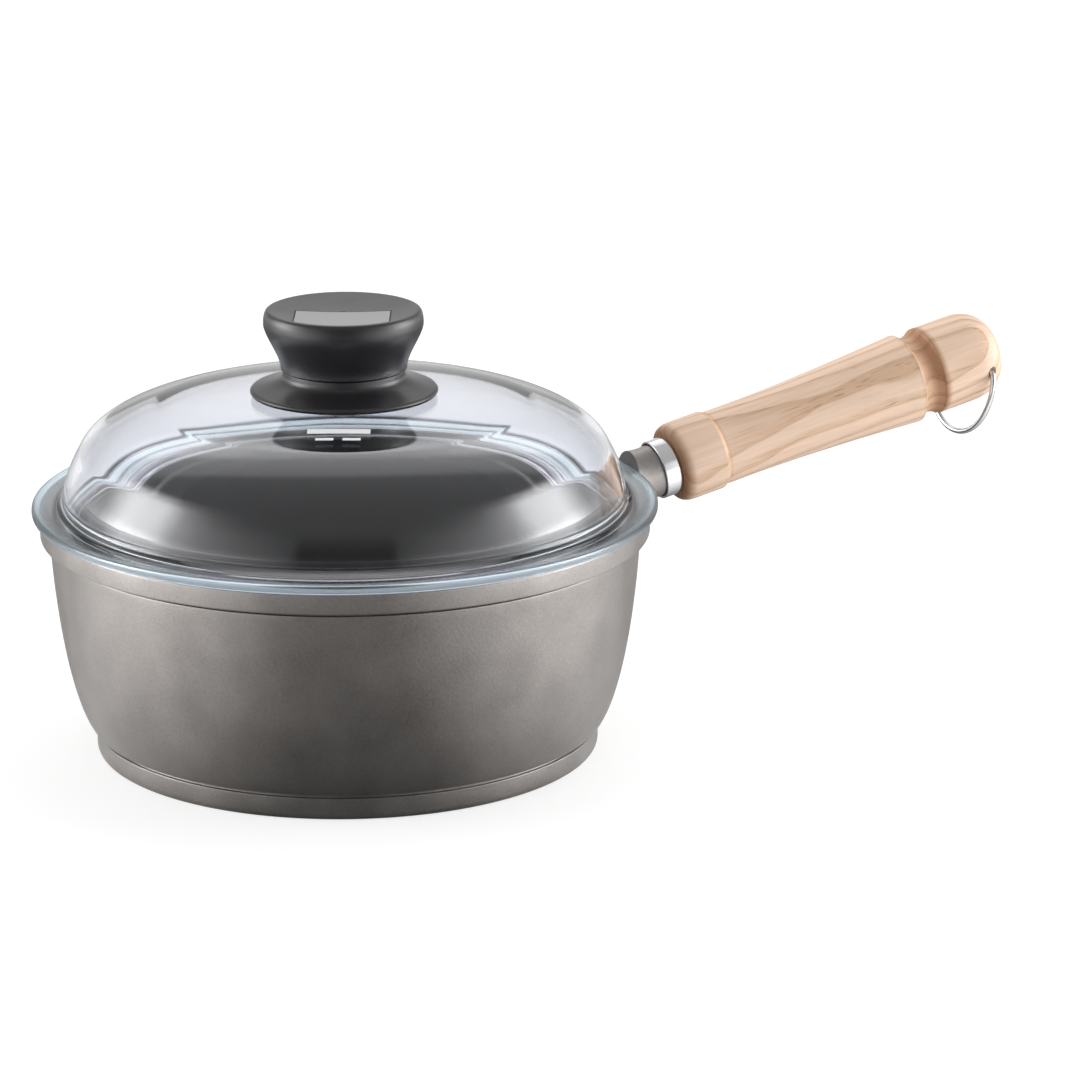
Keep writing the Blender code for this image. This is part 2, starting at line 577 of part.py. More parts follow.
def badge_blank(name, grow, extra_height):
    """Half-moon plate for the front of the knob's top, grown by a clearance for its pocket."""
    floor = KNOB_TOP - KNOB_DISH - BADGE_THICKNESS
    radius = KNOB_TOP_RADIUS - BADGE_RIM_MARGIN + grow
    half_width = BADGE_WIDTH / 2 + grow
    back = grow
    bottom = floor - grow
    top = floor + BADGE_THICKNESS + extra_height
    start = math.asin(half_width / radius)
    rim = []
    for i in range(13):
        angle = -math.pi / 2 - start + 2 * start * i / 12
        rim.append((radius * math.cos(angle), radius * math.sin(angle)))
    outline = rim + [(half_width, back), (-half_width, back)]
    shape = bmesh.new()
    lower = shape.faces.new([shape.verts.new((x, y, bottom)) for x, y in outline])
    raised = bmesh.ops.extrude_face_region(shape, geom=[lower])["geom"]
    moved = [item for item in raised if isinstance(item, bmesh.types.BMVert)]
    bmesh.ops.translate(shape, verts=moved, vec=(0, 0, top - bottom))
    bmesh.ops.recalc_face_normals(shape, faces=shape.faces)
    mesh = bpy.data.meshes.new(name)
    shape.to_mesh(mesh)
    shape.free()
    obj = bpy.data.objects.new(name, mesh)
    PARTS.objects.link(obj)
    obj.matrix_world = LID_FRAME
    return obj


def make_knob_hardware():
    """Gaskets, washers and the screw that clamps the glass between them and the knob."""
    silicone = material("grey_silicone", (0.06, 0.06, 0.06), 0.6)
    sleeve = GLASS_HOLE_RADIUS - GAP
    low = DOME_TOP - GLASS_THICKNESS + GAP
    seat = KNOB_BASE_BOTTOM
    outline = [(GASKET_RADIUS, seat + GASKET_THICKNESS), (GASKET_RADIUS, seat), (sleeve, seat),
               (sleeve, low), (SCREW_BORE_RADIUS, low), (SCREW_BORE_RADIUS, seat + GASKET_THICKNESS)]
    finish(turned("gasket_upper", outline, STEPS_SMALL, LID_FRAME), silicone)

    top = GLASS_UNDERSIDE - GAP
    finish(tube("gasket_lower", LOWER_GASKET_RADIUS, SCREW_BORE_RADIUS, top - GASKET_THICKNESS, top,
                STEPS_SMALL, LID_FRAME), silicone)
    top -= GASKET_THICKNESS + GAP
    finish(tube("screw_washer", LOWER_WASHER_RADIUS, SCREW_BORE_RADIUS, top - LOWER_WASHER_THICKNESS,
                top, STEPS_SMALL, LID_FRAME), material("washer_steel", (0.6, 0.6, 0.61), 0.3, 1.0))
    top -= LOWER_WASHER_THICKNESS + GAP
    ring = tube("spring_washer", SPRING_WASHER_RADIUS, SCREW_BORE_RADIUS,
                top - SPRING_WASHER_THICKNESS, top, STEPS_SMALL, LID_FRAME)
    combine(ring, slot_cutter("washer_split", 0.5 * MM, 6 * MM, top - 2 * MM, top + 1 * MM, 3 * MM),
            "DIFFERENCE")
    finish(ring, material("spring_washer_steel", (0.45, 0.45, 0.47), 0.35, 1.0))
    top -= SPRING_WASHER_THICKNESS + GAP

    tip = KNOB_BOTTOM + KNOB_INSERT_LENGTH - 1 * MM
    head = SCREW_HEAD_RADIUS
    bottom = top - SCREW_HEAD_HEIGHT
    outline = [(0, tip), (SCREW_RADIUS - 0.5 * MM, tip), (SCREW_RADIUS, tip - 0.5 * MM),
               (SCREW_RADIUS, top), (head, top), (head, bottom + 0.9 * MM)]
    outline += [(head - 0.8 * MM, bottom + 0.2 * MM), (head - 1.6 * MM, bottom), (0, bottom)]
    screw = turned("knob_screw", outline, STEPS_SMALL, LID_FRAME)
    combine(screw, slot_cutter("screw_slot", SCREW_SLOT, 12 * MM, bottom - 1 * MM, bottom + 1.2 * MM, 0),
            "DIFFERENCE")
    finish(screw, material("screw_steel", (0.66, 0.66, 0.67), 0.28, 1.0))

    bottom = KNOB_BOTTOM + GAP
    finish(tube("knob_insert", KNOB_INSERT_RADIUS, SCREW_BORE_RADIUS, bottom,
                bottom + KNOB_INSERT_LENGTH, STEPS_SMALL, LID_FRAME),
           material("knob_brass", (0.62, 0.46, 0.20), 0.35, 1.0))


def slot_cutter(name, width, length, low, high, offset):
    """A plain bar across the lid's axis, or to one side of it."""
    bpy.ops.mesh.primitive_cube_add(size=1.0)
    bar = bpy.context.active_object
    bar.name = name
    bar.matrix_world = (LID_FRAME @ Matrix.Translation((offset, 0, (low + high) / 2))
                        @ Matrix.Diagonal((length, width, high - low, 1)))
    return bar


clear_scene()
PARTS = new_collection("saucepan")
CUTTERS = new_collection("cutters")
make_pan()
make_handle_hardware()
make_grip()
make_ring()
make_lid_glass()
make_knob()
make_knob_hardware()
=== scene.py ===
import json
import math

import bpy
import numpy as np
from mathutils import Matrix, Vector


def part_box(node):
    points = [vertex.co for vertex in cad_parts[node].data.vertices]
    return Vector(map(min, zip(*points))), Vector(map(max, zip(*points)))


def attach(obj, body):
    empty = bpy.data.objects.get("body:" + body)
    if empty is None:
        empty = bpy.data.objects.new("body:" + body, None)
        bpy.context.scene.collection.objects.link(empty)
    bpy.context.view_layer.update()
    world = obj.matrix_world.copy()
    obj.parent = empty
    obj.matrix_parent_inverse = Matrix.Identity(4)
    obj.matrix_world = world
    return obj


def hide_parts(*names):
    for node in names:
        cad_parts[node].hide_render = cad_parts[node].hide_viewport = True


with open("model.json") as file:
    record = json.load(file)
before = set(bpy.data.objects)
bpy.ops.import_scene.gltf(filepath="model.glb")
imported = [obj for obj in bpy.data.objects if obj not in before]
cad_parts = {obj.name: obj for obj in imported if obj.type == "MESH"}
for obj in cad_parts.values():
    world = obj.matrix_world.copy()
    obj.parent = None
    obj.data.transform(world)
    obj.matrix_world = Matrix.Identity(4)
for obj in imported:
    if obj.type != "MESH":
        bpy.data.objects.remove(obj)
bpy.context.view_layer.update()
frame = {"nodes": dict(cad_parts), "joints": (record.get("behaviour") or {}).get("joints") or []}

MM = 0.001


# ---------------------------------------------------------------- camera, floor and light
# The stage is a white studio: a pale floor that runs out of sight, a light tent with a bright panel
# at each side and a dark gap for the camera, and a weak softbox overhead for the soft shadow.
def place(name, data):
    """Adds an object with this data to the scene."""
    obj = bpy.data.objects.new(name, data)
    bpy.context.scene.collection.objects.link(obj)
    return obj


def add_node(tree, kind, inputs=None, **settings):
    """Adds a shader node. Each input is a plain value or another node's output."""
    node = tree.nodes.new(kind)
    for key, value in settings.items():
        setattr(node, key, value)
    for key, value in (inputs or {}).items():
        if isinstance(value, bpy.types.NodeSocket):
            tree.links.new(value, node.inputs[key])
        else:
            node.inputs[key].default_value = value
    return node


CAMERA_PLACE = Vector((-0.60235, -1.4692, 0.52728))
CAMERA_HEADING = Vector((0.4017, 0.8733, -0.2760))
camera = place("camera", bpy.data.cameras.new("camera"))
camera.location = CAMERA_PLACE
camera.rotation_euler = CAMERA_HEADING.to_track_quat("-Z", "Y").to_euler()
camera.data.sensor_width = 36.0
camera.data.lens = 160.0
bpy.context.scene.camera = camera
bpy.context.scene.view_settings.view_transform = "Standard"

FLOOR_SIZE = 14.0
FLOOR_WHITE = (0.35, 0.35, 0.35, 1.0)
FLOOR_GLOW = 0.72
floor_mesh = bpy.data.meshes.new("floor")
half = FLOOR_SIZE / 2
floor_mesh.from_pydata([(-half, -half, 0), (half, -half, 0), (half, half, 0), (-half, half, 0)],
                       [], [(0, 1, 2, 3)])
floor = place("floor", floor_mesh)

# Round the pan the room is a light tent. Near the horizon it is dark at the gap for the camera, with
# a bright panel at each side; higher up it is bright behind and dim towards the camera. Stops are
# (degrees from the camera or, overhead, from the horizon behind the pan; brightness).
TENT_SIDES = ((0, 0.12), (19, 0.13), (23, 0.46), (46, 1.05), (62, 1.7), (76, 3.2), (87, 7.5), (104, 7.5),
              (118, 1.8), (134, 0.60), (164, 0.50), (180, 0.80))
TENT_TOP = ((0, 2.0), (44, 1.9), (48, 1.15), (62, 1.0), (67, 0.55), (180, 0.40))
CEILING_BAND = (0.42, 0.62)
HORIZON_BAND = (0.02, 0.17)
HORIZON_GAIN = 1.6
# The floor is plain white to the camera. Metal and glass pick up a dimmer one, darkest where the
# pan shades it and brightest far away. Its stops are (degrees from the camera, brightness).
FLOOR_SIDES = ((0, 0.20), (20, 0.25), (46, 1.05), (76, 1.80), (98, 1.25), (122, 0.42), (150, 0.24),
               (180, 0.30))
PAN_SHADE = 0.38
PAN_SHADE_REACH = (0.085, 0.24)
FAR_GAIN = 3.0
FAR_REACH = (0.55, 1.5)


def dimming(tree, cosine, stops):
    """Brightness by angle: the angle comes from its cosine, and the stops are (degrees, brightness).
    Returns a colour and the strength that it is a share of."""
    peak = max(brightness for _, brightness in stops)
    angle = add_node(tree, "ShaderNodeMath", {0: cosine}, operation="ARCCOSINE")
    share = add_node(tree, "ShaderNodeMath", {0: angle.outputs[0], 1: math.pi}, operation="DIVIDE")
    ramp = add_node(tree, "ShaderNodeValToRGB", {"Fac": share.outputs[0]})
    ramp.color_ramp.elements.remove(ramp.color_ramp.elements[0])
    for number, (degrees, brightness) in enumerate(stops):
        elements = ramp.color_ramp.elements
        stop = elements[0] if number == 0 else elements.new(degrees / 180)
        stop.position = degrees / 180
        stop.color = (*(3 * [brightness / peak]), 1.0)
    return {"Color": ramp.outputs[0], "Strength": peak}


def cosine_to(tree, direction, axis, flatten=(1, 1, 1)):
    """Cosine of the angle between a direction, flattened first, and an axis."""
    flat = add_node(tree, "ShaderNodeVectorMath", {0: direction, 1: flatten}, operation="MULTIPLY")
    unit = add_node(tree, "ShaderNodeVectorMath", {0: flat.outputs[0]}, operation="NORMALIZE")
    return add_node(tree, "ShaderNodeVectorMath", {0: unit.outputs[0], 1: axis},
                    operation="DOT_PRODUCT").outputs["Value"]


to_camera = Vector((CAMERA_PLACE.x, CAMERA_PLACE.y, 0)).normalized()
floor_finish = bpy.data.materials.new("floor_paint")
floor_finish.use_nodes = True
tree = floor_finish.node_tree
tree.nodes.clear()
spot = add_node(tree, "ShaderNodeTexCoord")
floor_light = dimming(tree, cosine_to(tree, spot.outputs["Object"], to_camera), FLOOR_SIDES)
from_pan = add_node(tree, "ShaderNodeVectorMath", {0: spot.outputs["Object"]}, operation="LENGTH")
shade = add_node(tree, "ShaderNodeMapRange", {
    "Value": from_pan.outputs["Value"], "From Min": PAN_SHADE_REACH[0],
    "From Max": PAN_SHADE_REACH[1], "To Min": PAN_SHADE * floor_light["Strength"],
    "To Max": floor_light["Strength"]})
far = add_node(tree, "ShaderNodeMapRange", {
    "Value": from_pan.outputs["Value"], "From Min": FAR_REACH[0], "From Max": FAR_REACH[1],
    "To Min": 1.0, "To Max": FAR_GAIN})
floor_light["Strength"] = add_node(tree, "ShaderNodeMath", {0: shade.outputs[0], 1: far.outputs[0]},
                                   operation="MULTIPLY").outputs[0]
dim = add_node(tree, "ShaderNodeEmission", floor_light)
white = add_node(tree, "ShaderNodeBsdfDiffuse", {"Color": FLOOR_WHITE})
glow = add_node(tree, "ShaderNodeEmission", {"Color": (1, 1, 1, 1), "Strength": FLOOR_GLOW})
lit = add_node(tree, "ShaderNodeAddShader", {0: white.outputs[0], 1: glow.outputs[0]})
seen = add_node(tree, "ShaderNodeLightPath")
straight = add_node(tree, "ShaderNodeMath", {0: seen.outputs["Is Camera Ray"],
                                             1: seen.outputs["Is Transmission Ray"]},
                    operation="MAXIMUM")
mix = add_node(tree, "ShaderNodeMixShader", {0: straight.outputs[0], 1: dim.outputs[0],
                                             2: lit.outputs[0]})
add_node(tree, "ShaderNodeOutputMaterial", {"Surface": mix.outputs[0]})
floor.data.materials.append(floor_finish)

world = bpy.data.worlds.new("light_tent")
world.use_nodes = True
tree = world.node_tree
tree.nodes.clear()
toward = add_node(tree, "ShaderNodeTexCoord")
height = add_node(tree, "ShaderNodeSeparateXYZ", {0: toward.outputs["Generated"]})
overhead = add_node(tree, "ShaderNodeMapRange", {
    "Value": height.outputs["Z"], "From Min": CEILING_BAND[0], "From Max": CEILING_BAND[1]},
    interpolation_type="SMOOTHSTEP")
side_light = dimming(tree, cosine_to(tree, toward.outputs["Generated"], to_camera, (1, 1, 0)),
                     TENT_SIDES)
horizon = add_node(tree, "ShaderNodeMapRange", {
    "Value": height.outputs["Z"], "From Min": HORIZON_BAND[0], "From Max": HORIZON_BAND[1],
    "To Min": HORIZON_GAIN * side_light["Strength"], "To Max": side_light["Strength"]})
side_light["Strength"] = horizon.outputs[0]
sides = add_node(tree, "ShaderNodeBackground", side_light)
ceiling = add_node(tree, "ShaderNodeBackground", dimming(
    tree, cosine_to(tree, toward.outputs["Generated"], -to_camera), TENT_TOP))
tent = add_node(tree, "ShaderNodeMixShader", {0: overhead.outputs[0], 1: sides.outputs[0],
                                              2: ceiling.outputs[0]})
backdrop = add_node(tree, "ShaderNodeBackground", {"Color": (1, 1, 1, 1)})
path = add_node(tree, "ShaderNodeLightPath")
bounces = add_node(tree, "ShaderNodeMath", {0: path.outputs["Diffuse Depth"],
                                            1: path.outputs["Glossy Depth"]}, operation="ADD")
unreflected = add_node(tree, "ShaderNodeMath", {0: bounces.outputs[0], 1: 0.5},
                       operation="LESS_THAN")
mix = add_node(tree, "ShaderNodeMixShader", {0: unreflected.outputs[0], 1: tent.outputs[0],
                                             2: backdrop.outputs[0]})
add_node(tree, "ShaderNodeOutputWorld", {"Surface": mix.outputs[0]})
bpy.context.scene.world = world

# The softbox's turn is counted from the camera, positive to its right, and its rise from the floor.
SOFTBOX_TURN = math.radians(150)
SOFTBOX_RISE = math.radians(68)
SOFTBOX_DISTANCE = 1.5
SOFTBOX_AIM = Vector((0.03, 0.0, 0.08))
light = bpy.data.lights.new("top_softbox", "AREA")
light.shape = "RECTANGLE"
light.size = 1.2
light.size_y = 0.9
light.energy = 6
heading = math.atan2(CAMERA_PLACE.y, CAMERA_PLACE.x) + SOFTBOX_TURN
away = Vector((math.cos(heading) * math.cos(SOFTBOX_RISE),
               math.sin(heading) * math.cos(SOFTBOX_RISE), math.sin(SOFTBOX_RISE)))
lamp = place("top_softbox", light)
lamp.location = SOFTBOX_AIM + away * SOFTBOX_DISTANCE
lamp.rotation_euler = (-away).to_track_quat("-Z", "Y").to_euler()
lamp.visible_camera = False
lamp.visible_glossy = False
lamp.visible_transmission = False


# ---------------------------------------------------------------- pan
# The pan is one aluminium casting: thick base, curved wall, lip band and a stub for the handle.
# It is sprayed all over, bronze-grey with fine flakes outside and near black non-stick inside,
# and the base is turned flat after coating. A narrow groove runs under the lip and over the foot.
RIM_RADIUS = 104.5
SKIRT_DEPTH = 2.4
LID_CLEARANCE = 0.3
RIM_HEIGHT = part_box("lid_glass")[0].z / MM + SKIRT_DEPTH - LID_CLEARANCE
MOUTH_RADIUS = 100.0
LIP_HEIGHT = 7.2
WALL_TOP_RADIUS = 101.2
WALL_THICKNESS = 3.6
LEDGE_DROP = 1.5
FLOOR_INSET = 6.8
FOOT_RADIUS = 86.8
FOOT_HEIGHT = 9.0
FOOT_OVERHANG = 1.4
LINE_DEPTH = 1.1
LINE_HEIGHT = 1.3
BASE_THICKNESS = 6.5
TURNED_BASE_RADIUS = 81.5
HANDLE_DROP = 4.2
HANDLE_TILT = math.radians(12.9)
STUB_END = 19.9
STUB_RADIUS = 9.35
STUB_FLARE = 3.65
FLARE_SHARE = 0.72
STUB_BORE = 3.3
STUB_BORE_DEPTH = 12.2
STUB_ROOT_DEPTH = 1.2
LID_RELIEF_RADIUS = 108.0


def bend(a, b, c, d, count=18):
    """Cubic curve from a to d: the four corners weighted by (1-t)^3, 3t(1-t)^2, 3t^2(1-t) and t^3.
    The third column is 0, so none of its points is rounded."""
    t = np.linspace(0.0, 1.0, count + 1)[:, None]
    corners = [np.array(corner, float) for corner in (a, b, c, d)]
    weights = [(1 - t) ** 3, 3 * t * (1 - t) ** 2, 3 * t * t * (1 - t), t ** 3]
    points = sum(weight * corner for weight, corner in zip(weights, corners))
    return np.column_stack([points, np.zeros(count + 1)])


def outline(*stretches, steps=6):
    """Outline from rows of (radius, height, rounding). A corner becomes the quadratic curve
    (1-t)^2 a + 2t(1-t) corner + t^2 b, with a and b its rounding before and after the corner."""
    rows = np.vstack([np.atleast_2d(np.array(stretch, float)) for stretch in stretches])
    rows = rows[np.r_[True, np.abs(np.diff(rows[:, :2], axis=0)).sum(1) > 1e-5]]
    corner, rounding = rows[:, None, :2], rows[:, None, 2:]
    before = np.roll(corner, 1, axis=0) - corner
    after = np.roll(corner, -1, axis=0) - corner
    start = corner + rounding * before / np.linalg.norm(before, axis=2, keepdims=True)
    end = corner + rounding * after / np.linalg.norm(after, axis=2, keepdims=True)
    t = np.linspace(0.0, 1.0, steps + 1)[None, :, None]
    points = ((1 - t) ** 2 * start + 2 * t * (1 - t) * corner + t * t * end).reshape(-1, 2)
    return points[np.r_[True, np.abs(np.diff(points, axis=0)).sum(1) > 1e-5]]


def turned(profile, turns=224):
    """Surface of revolution: the outline point (r, h) goes to (r cos a, r sin a, h) at each angle a.
    An outline that runs down its outer side gives faces that point outwards. One that starts and
    ends on the axis closes there in a point, and any other closes on itself."""
    poles = profile[0, 0] < 1e-6
    rings = profile[1:-1] if poles else profile
    angle = np.arange(turns) * 2 * math.pi / turns
    radius, height = rings[:, :1], rings[:, 1:]
    points = np.stack([radius * np.cos(angle), radius * np.sin(angle),
                       height + 0 * angle], axis=2).reshape(-1, 3)
    here = np.arange(len(points)).reshape(len(rings), turns)
    beside = np.roll(here, -1, axis=1)
    below, below_beside = np.roll(here, -1, axis=0), np.roll(beside, -1, axis=0)
    rows = slice(0, len(rings) - 1) if poles else slice(None)
    faces = np.stack([here[rows], below[rows], below_beside[rows], beside[rows]],
                     axis=2).reshape(-1, 4).tolist()
    if poles:
        top, bottom = len(points), len(points) + 1
        points = np.vstack([points, [0, 0, profile[0, 1]], [0, 0, profile[-1, 1]]])
        faces += np.column_stack([np.full(turns, top), here[0], beside[0]]).tolist()
        faces += np.column_stack([here[-1], np.full(turns, bottom), beside[-1]]).tolist()
    return points, faces


def make_piece(name, points, faces, *finishes, pose=None, crease=32):
    """A mesh object in metres from points in millimetres, shaded smooth up to the crease angle."""
    mesh = bpy.data.meshes.new(name)
    mesh.from_pydata((np.asarray(points) * MM).tolist(), [], faces)
    if pose is not None:
        mesh.transform(pose)
    mesh.shade_smooth()
    mesh.set_sharp_from_angle(angle=math.radians(crease))
    for finish in finishes:
        mesh.materials.append(finish)
    return place(name, mesh)


def new_group(name, inputs, outputs):
    """A shader node group with these float, colour or vector sockets; returns its tree and ends."""
    group = bpy.data.node_groups.new(name, "ShaderNodeTree")
    kinds = {"f": "NodeSocketFloat", "c": "NodeSocketColor", "v": "NodeSocketVector"}
    for label, kind in inputs.items():
        group.interface.new_socket(name=label, in_out="INPUT", socket_type=kinds[kind])
    for label, kind in outputs.items():
        group.interface.new_socket(name=label, in_out="OUTPUT", socket_type=kinds[kind])
    return group, add_node(group, "NodeGroupInput"), add_node(group, "NodeGroupOutput")


def mottle_group():
    """Uneven finish: slow and fine noise lighten and darken a colour, shift its roughness, and
    give a height for the fine grain."""
    group, given, out = new_group(
        "mottle", {"Vector": "v", "Color": "c", "Contrast": "f", "Fine Scale": "f",
                   "Slow Scale": "f", "Roughness": "f", "Unevenness": "f"},
        {"Color": "c", "Roughness": "f", "Height": "f"})
    fine = add_node(group, "ShaderNodeTexNoise", {"Vector": given.outputs["Vector"], "Detail": 3.0,
                                                  "Scale": given.outputs["Fine Scale"]})
    slow = add_node(group, "ShaderNodeTexNoise", {"Vector": given.outputs["Vector"], "Detail": 2.0,
                                                  "Scale": given.outputs["Slow Scale"]})
    both = add_node(group, "ShaderNodeMath", {0: fine.outputs[0], 1: slow.outputs[0]},
                    operation="ADD")
    swing = add_node(group, "ShaderNodeMath", {0: both.outputs[0], 1: 1.0}, operation="SUBTRACT")
    gain = add_node(group, "ShaderNodeMath", {0: swing.outputs[0], 1: given.outputs["Contrast"],
                                              2: 1.0}, operation="MULTIPLY_ADD")
    shade = add_node(group, "ShaderNodeVectorMath", {0: given.outputs["Color"],
                                                     "Scale": gain.outputs[0]}, operation="SCALE")
    rough = add_node(group, "ShaderNodeMath", {0: swing.outputs[0], 1: given.outputs["Unevenness"],
                                               2: given.outputs["Roughness"]},
                     operation="MULTIPLY_ADD", use_clamp=True)
    group.links.new(shade.outputs[0], out.inputs["Color"])
    group.links.new(rough.outputs[0], out.inputs["Roughness"])
    group.links.new(fine.outputs[0], out.inputs["Height"])
    return group


MOTTLE = mottle_group()


def new_finish(name, color, roughness, metallic=0.0, contrast=0.15, grain=900.0, patches=40.0,
               unevenness=0.1, relief=0.02, **shader_values):
    """A material whose colour, roughness and fine relief come from the mottle group.
    Grain and patches are counts per metre, and relief is a depth in millimetres."""
    finish = bpy.data.materials.new(name)
    finish.use_nodes = True
    tree = finish.node_tree
    shader = tree.nodes["Principled BSDF"]
    coordinates = add_node(tree, "ShaderNodeTexCoord")
    mottle = add_node(tree, "ShaderNodeGroup", node_tree=MOTTLE)
    values = {"Color": (*color, 1.0), "Contrast": contrast, "Fine Scale": grain,
              "Slow Scale": patches, "Roughness": roughness, "Unevenness": unevenness}
    for label, value in values.items():
        mottle.inputs[label].default_value = value
    tree.links.new(coordinates.outputs["Object"], mottle.inputs["Vector"])
    bump = add_node(tree, "ShaderNodeBump", {"Height": mottle.outputs["Height"],
                                             "Distance": relief * MM})
    tree.links.new(mottle.outputs["Color"], shader.inputs["Base Color"])
    tree.links.new(mottle.outputs["Roughness"], shader.inputs["Roughness"])
    tree.links.new(bump.outputs[0], shader.inputs["Normal"])
    shader.inputs["Metallic"].default_value = metallic
    for label, value in shader_values.items():
        shader.inputs[label.replace("_", " ")].default_value = value
    return finish


LIP_BOTTOM = RIM_HEIGHT - LIP_HEIGHT
FOOT_TOP_RADIUS = FOOT_RADIUS + FOOT_OVERHANG
wall_lean = WALL_TOP_RADIUS - FOOT_TOP_RADIUS
wall_height = LIP_BOTTOM - FOOT_HEIGHT
outer_wall = bend((WALL_TOP_RADIUS, LIP_BOTTOM - LINE_HEIGHT - 0.6),
                  (WALL_TOP_RADIUS - 0.12 * wall_lean, FOOT_HEIGHT + 0.54 * wall_height),
                  (FOOT_TOP_RADIUS + 0.48 * wall_lean, FOOT_HEIGHT + 0.12 * wall_height),
                  (FOOT_TOP_RADIUS, FOOT_HEIGHT + 0.4), 40)
inner_top = WALL_TOP_RADIUS - WALL_THICKNESS
inner_ledge = LIP_BOTTOM - LEDGE_DROP
floor_edge = FOOT_RADIUS - FLOOR_INSET
inner_wall = bend((inner_top, inner_ledge), (inner_top - 2.1, 0.53 * inner_ledge),
                  (floor_edge + 10.5, BASE_THICKNESS + 1.5), (floor_edge, BASE_THICKNESS), 40)
pan_profile = outline(
    (0, BASE_THICKNESS, 0), inner_wall[::-1],
    (MOUTH_RADIUS, LIP_BOTTOM + 0.6, 1.0), (MOUTH_RADIUS, RIM_HEIGHT, 0.9),
    (RIM_RADIUS, RIM_HEIGHT, 0.9), (RIM_RADIUS, LIP_BOTTOM, 0.7),
    (WALL_TOP_RADIUS - LINE_DEPTH, LIP_BOTTOM, 0.3),
    (WALL_TOP_RADIUS - LINE_DEPTH, LIP_BOTTOM - LINE_HEIGHT, 0.3),
    (WALL_TOP_RADIUS - 0.05, LIP_BOTTOM - LINE_HEIGHT, 0.25), outer_wall,
    (FOOT_RADIUS - LINE_DEPTH, FOOT_HEIGHT + 0.2, 0.3),
    (FOOT_RADIUS - LINE_DEPTH, FOOT_HEIGHT - LINE_HEIGHT, 0.3),
    (FOOT_RADIUS, FOOT_HEIGHT - LINE_HEIGHT, 0.25),
    (FOOT_RADIUS, 0, 2.3), (0, 0, 0))
PAN_TURNS = 288
pan_points, pan_faces = turned(pan_profile, PAN_TURNS)


def stub_surface(around=96, along=64):
    """The handle's stub: rings round the handle axis whose radius falls from the flare to the stub.
    Each line of points starts just inside the wall's curve, so the flare grows out of it, and
    whatever would stand above the rim under the lid's edge is pressed down level with the rim."""
    angle = np.arange(around) * 2 * math.pi / around
    share = np.linspace(0.0, 1.0, along)[:, None]
    radius = STUB_RADIUS + STUB_FLARE * (1 - np.clip(share / FLARE_SHARE, 0, 1)) ** 2
    tilt_cos, tilt_sin = math.cos(HANDLE_TILT), math.sin(HANDLE_TILT)
    side = radius * np.cos(angle)
    lift = radius * np.sin(angle)
    axis_height = RIM_HEIGHT - HANDLE_DROP
    root = np.zeros(around)
    for _ in range(12):
        x = MOUTH_RADIUS + root * tilt_cos - lift[0] * tilt_sin
        z = axis_height + root * tilt_sin + lift[0] * tilt_cos
        wall = np.interp(z, outer_wall[::-1, 1], outer_wall[::-1, 0]) - STUB_ROOT_DEPTH
        root = root + (wall - np.hypot(x, side[0])) * 0.8
    run = root + (STUB_END - root) * share
    x = MOUTH_RADIUS + run * tilt_cos - lift * tilt_sin
    z = axis_height + run * tilt_sin + lift * tilt_cos
    under_lid = np.clip((LID_RELIEF_RADIUS - np.hypot(x, side)) / 0.3, 0, 1)
    z = z - under_lid * np.clip(z - RIM_HEIGHT + 0.05, 0, None)
    tip = [(STUB_RADIUS - 0.5, STUB_END), (STUB_BORE, STUB_END),
           (STUB_BORE, STUB_END - STUB_BORE_DEPTH)]
    rings = [np.stack([x, side, z], axis=2)]
    for tip_radius, tip_run in tip:
        tip_lift = tip_radius * np.sin(angle)
        rings.append(np.stack([MOUTH_RADIUS + tip_run * tilt_cos - tip_lift * tilt_sin,
                               tip_radius * np.cos(angle),
                               axis_height + tip_run * tilt_sin + tip_lift * tilt_cos],
                              axis=1)[None])
    points = np.concatenate(rings).reshape(-1, 3)
    count = len(points) // around
    here = np.arange(len(points)).reshape(count, around)
    beside = np.roll(here, -1, axis=1)
    faces = np.stack([here[:-1], here[1:], beside[1:], beside[:-1]], axis=2).reshape(-1, 4).tolist()
    faces.append(here[-1, ::-1].tolist())
    hub_height = axis_height + root.mean() * tilt_sin
    hub_radius = np.interp(hub_height, outer_wall[::-1, 1], outer_wall[::-1, 0]) - STUB_ROOT_DEPTH
    hub = (hub_radius, 0, hub_height)
    faces += np.column_stack([np.full(around, len(points)), here[0], beside[0]]).tolist()
    return np.vstack([points, [hub]]), [face[::-1] for face in faces]


stub_points, stub_faces = stub_surface()
shift = len(pan_points)
coating = new_finish("pan_coating", (0.30, 0.280, 0.266), 0.38, 0.80, contrast=0.42, grain=1150.0,
                     patches=60.0, unevenness=0.12, relief=0.05)
non_stick = new_finish("non_stick", (0.040, 0.038, 0.038), 0.30, 0.30, contrast=0.35, grain=1800.0,
                       patches=50.0, unevenness=0.08, relief=0.02)
turned_base = new_finish("turned_base", (0.62, 0.62, 0.63), 0.34, 1.0, contrast=0.12, grain=1200.0)
pan = make_piece("pan_casting", np.vstack([pan_points, stub_points]),
                 pan_faces + [[corner + shift for corner in face] for face in stub_faces],
                 coating, non_stick, turned_base)
count = len(pan.data.polygons)
middles = np.zeros(count * 3)
pan.data.polygons.foreach_get("center", middles)
middles = middles.reshape(-1, 3) / MM
from_axis = np.hypot(middles[:, 0], middles[:, 1])
# The cavity is the outline's rows up to the rim and the fan of faces that closes its floor.
cavity_rings = np.argmax(pan_profile[:, 1] > RIM_HEIGHT - 1.0) - 1
cavity_floor = (from_axis < 5) & (middles[:, 2] > 1)
inside = (np.arange(count) < cavity_rings * PAN_TURNS) | cavity_floor
below = (from_axis < TURNED_BASE_RADIUS) & (middles[:, 2] < 0.05)
pan.data.polygons.foreach_set("material_index", (inside * 1 + below * 2).astype(np.int32))
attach(pan, "pan")
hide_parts("pan_body")


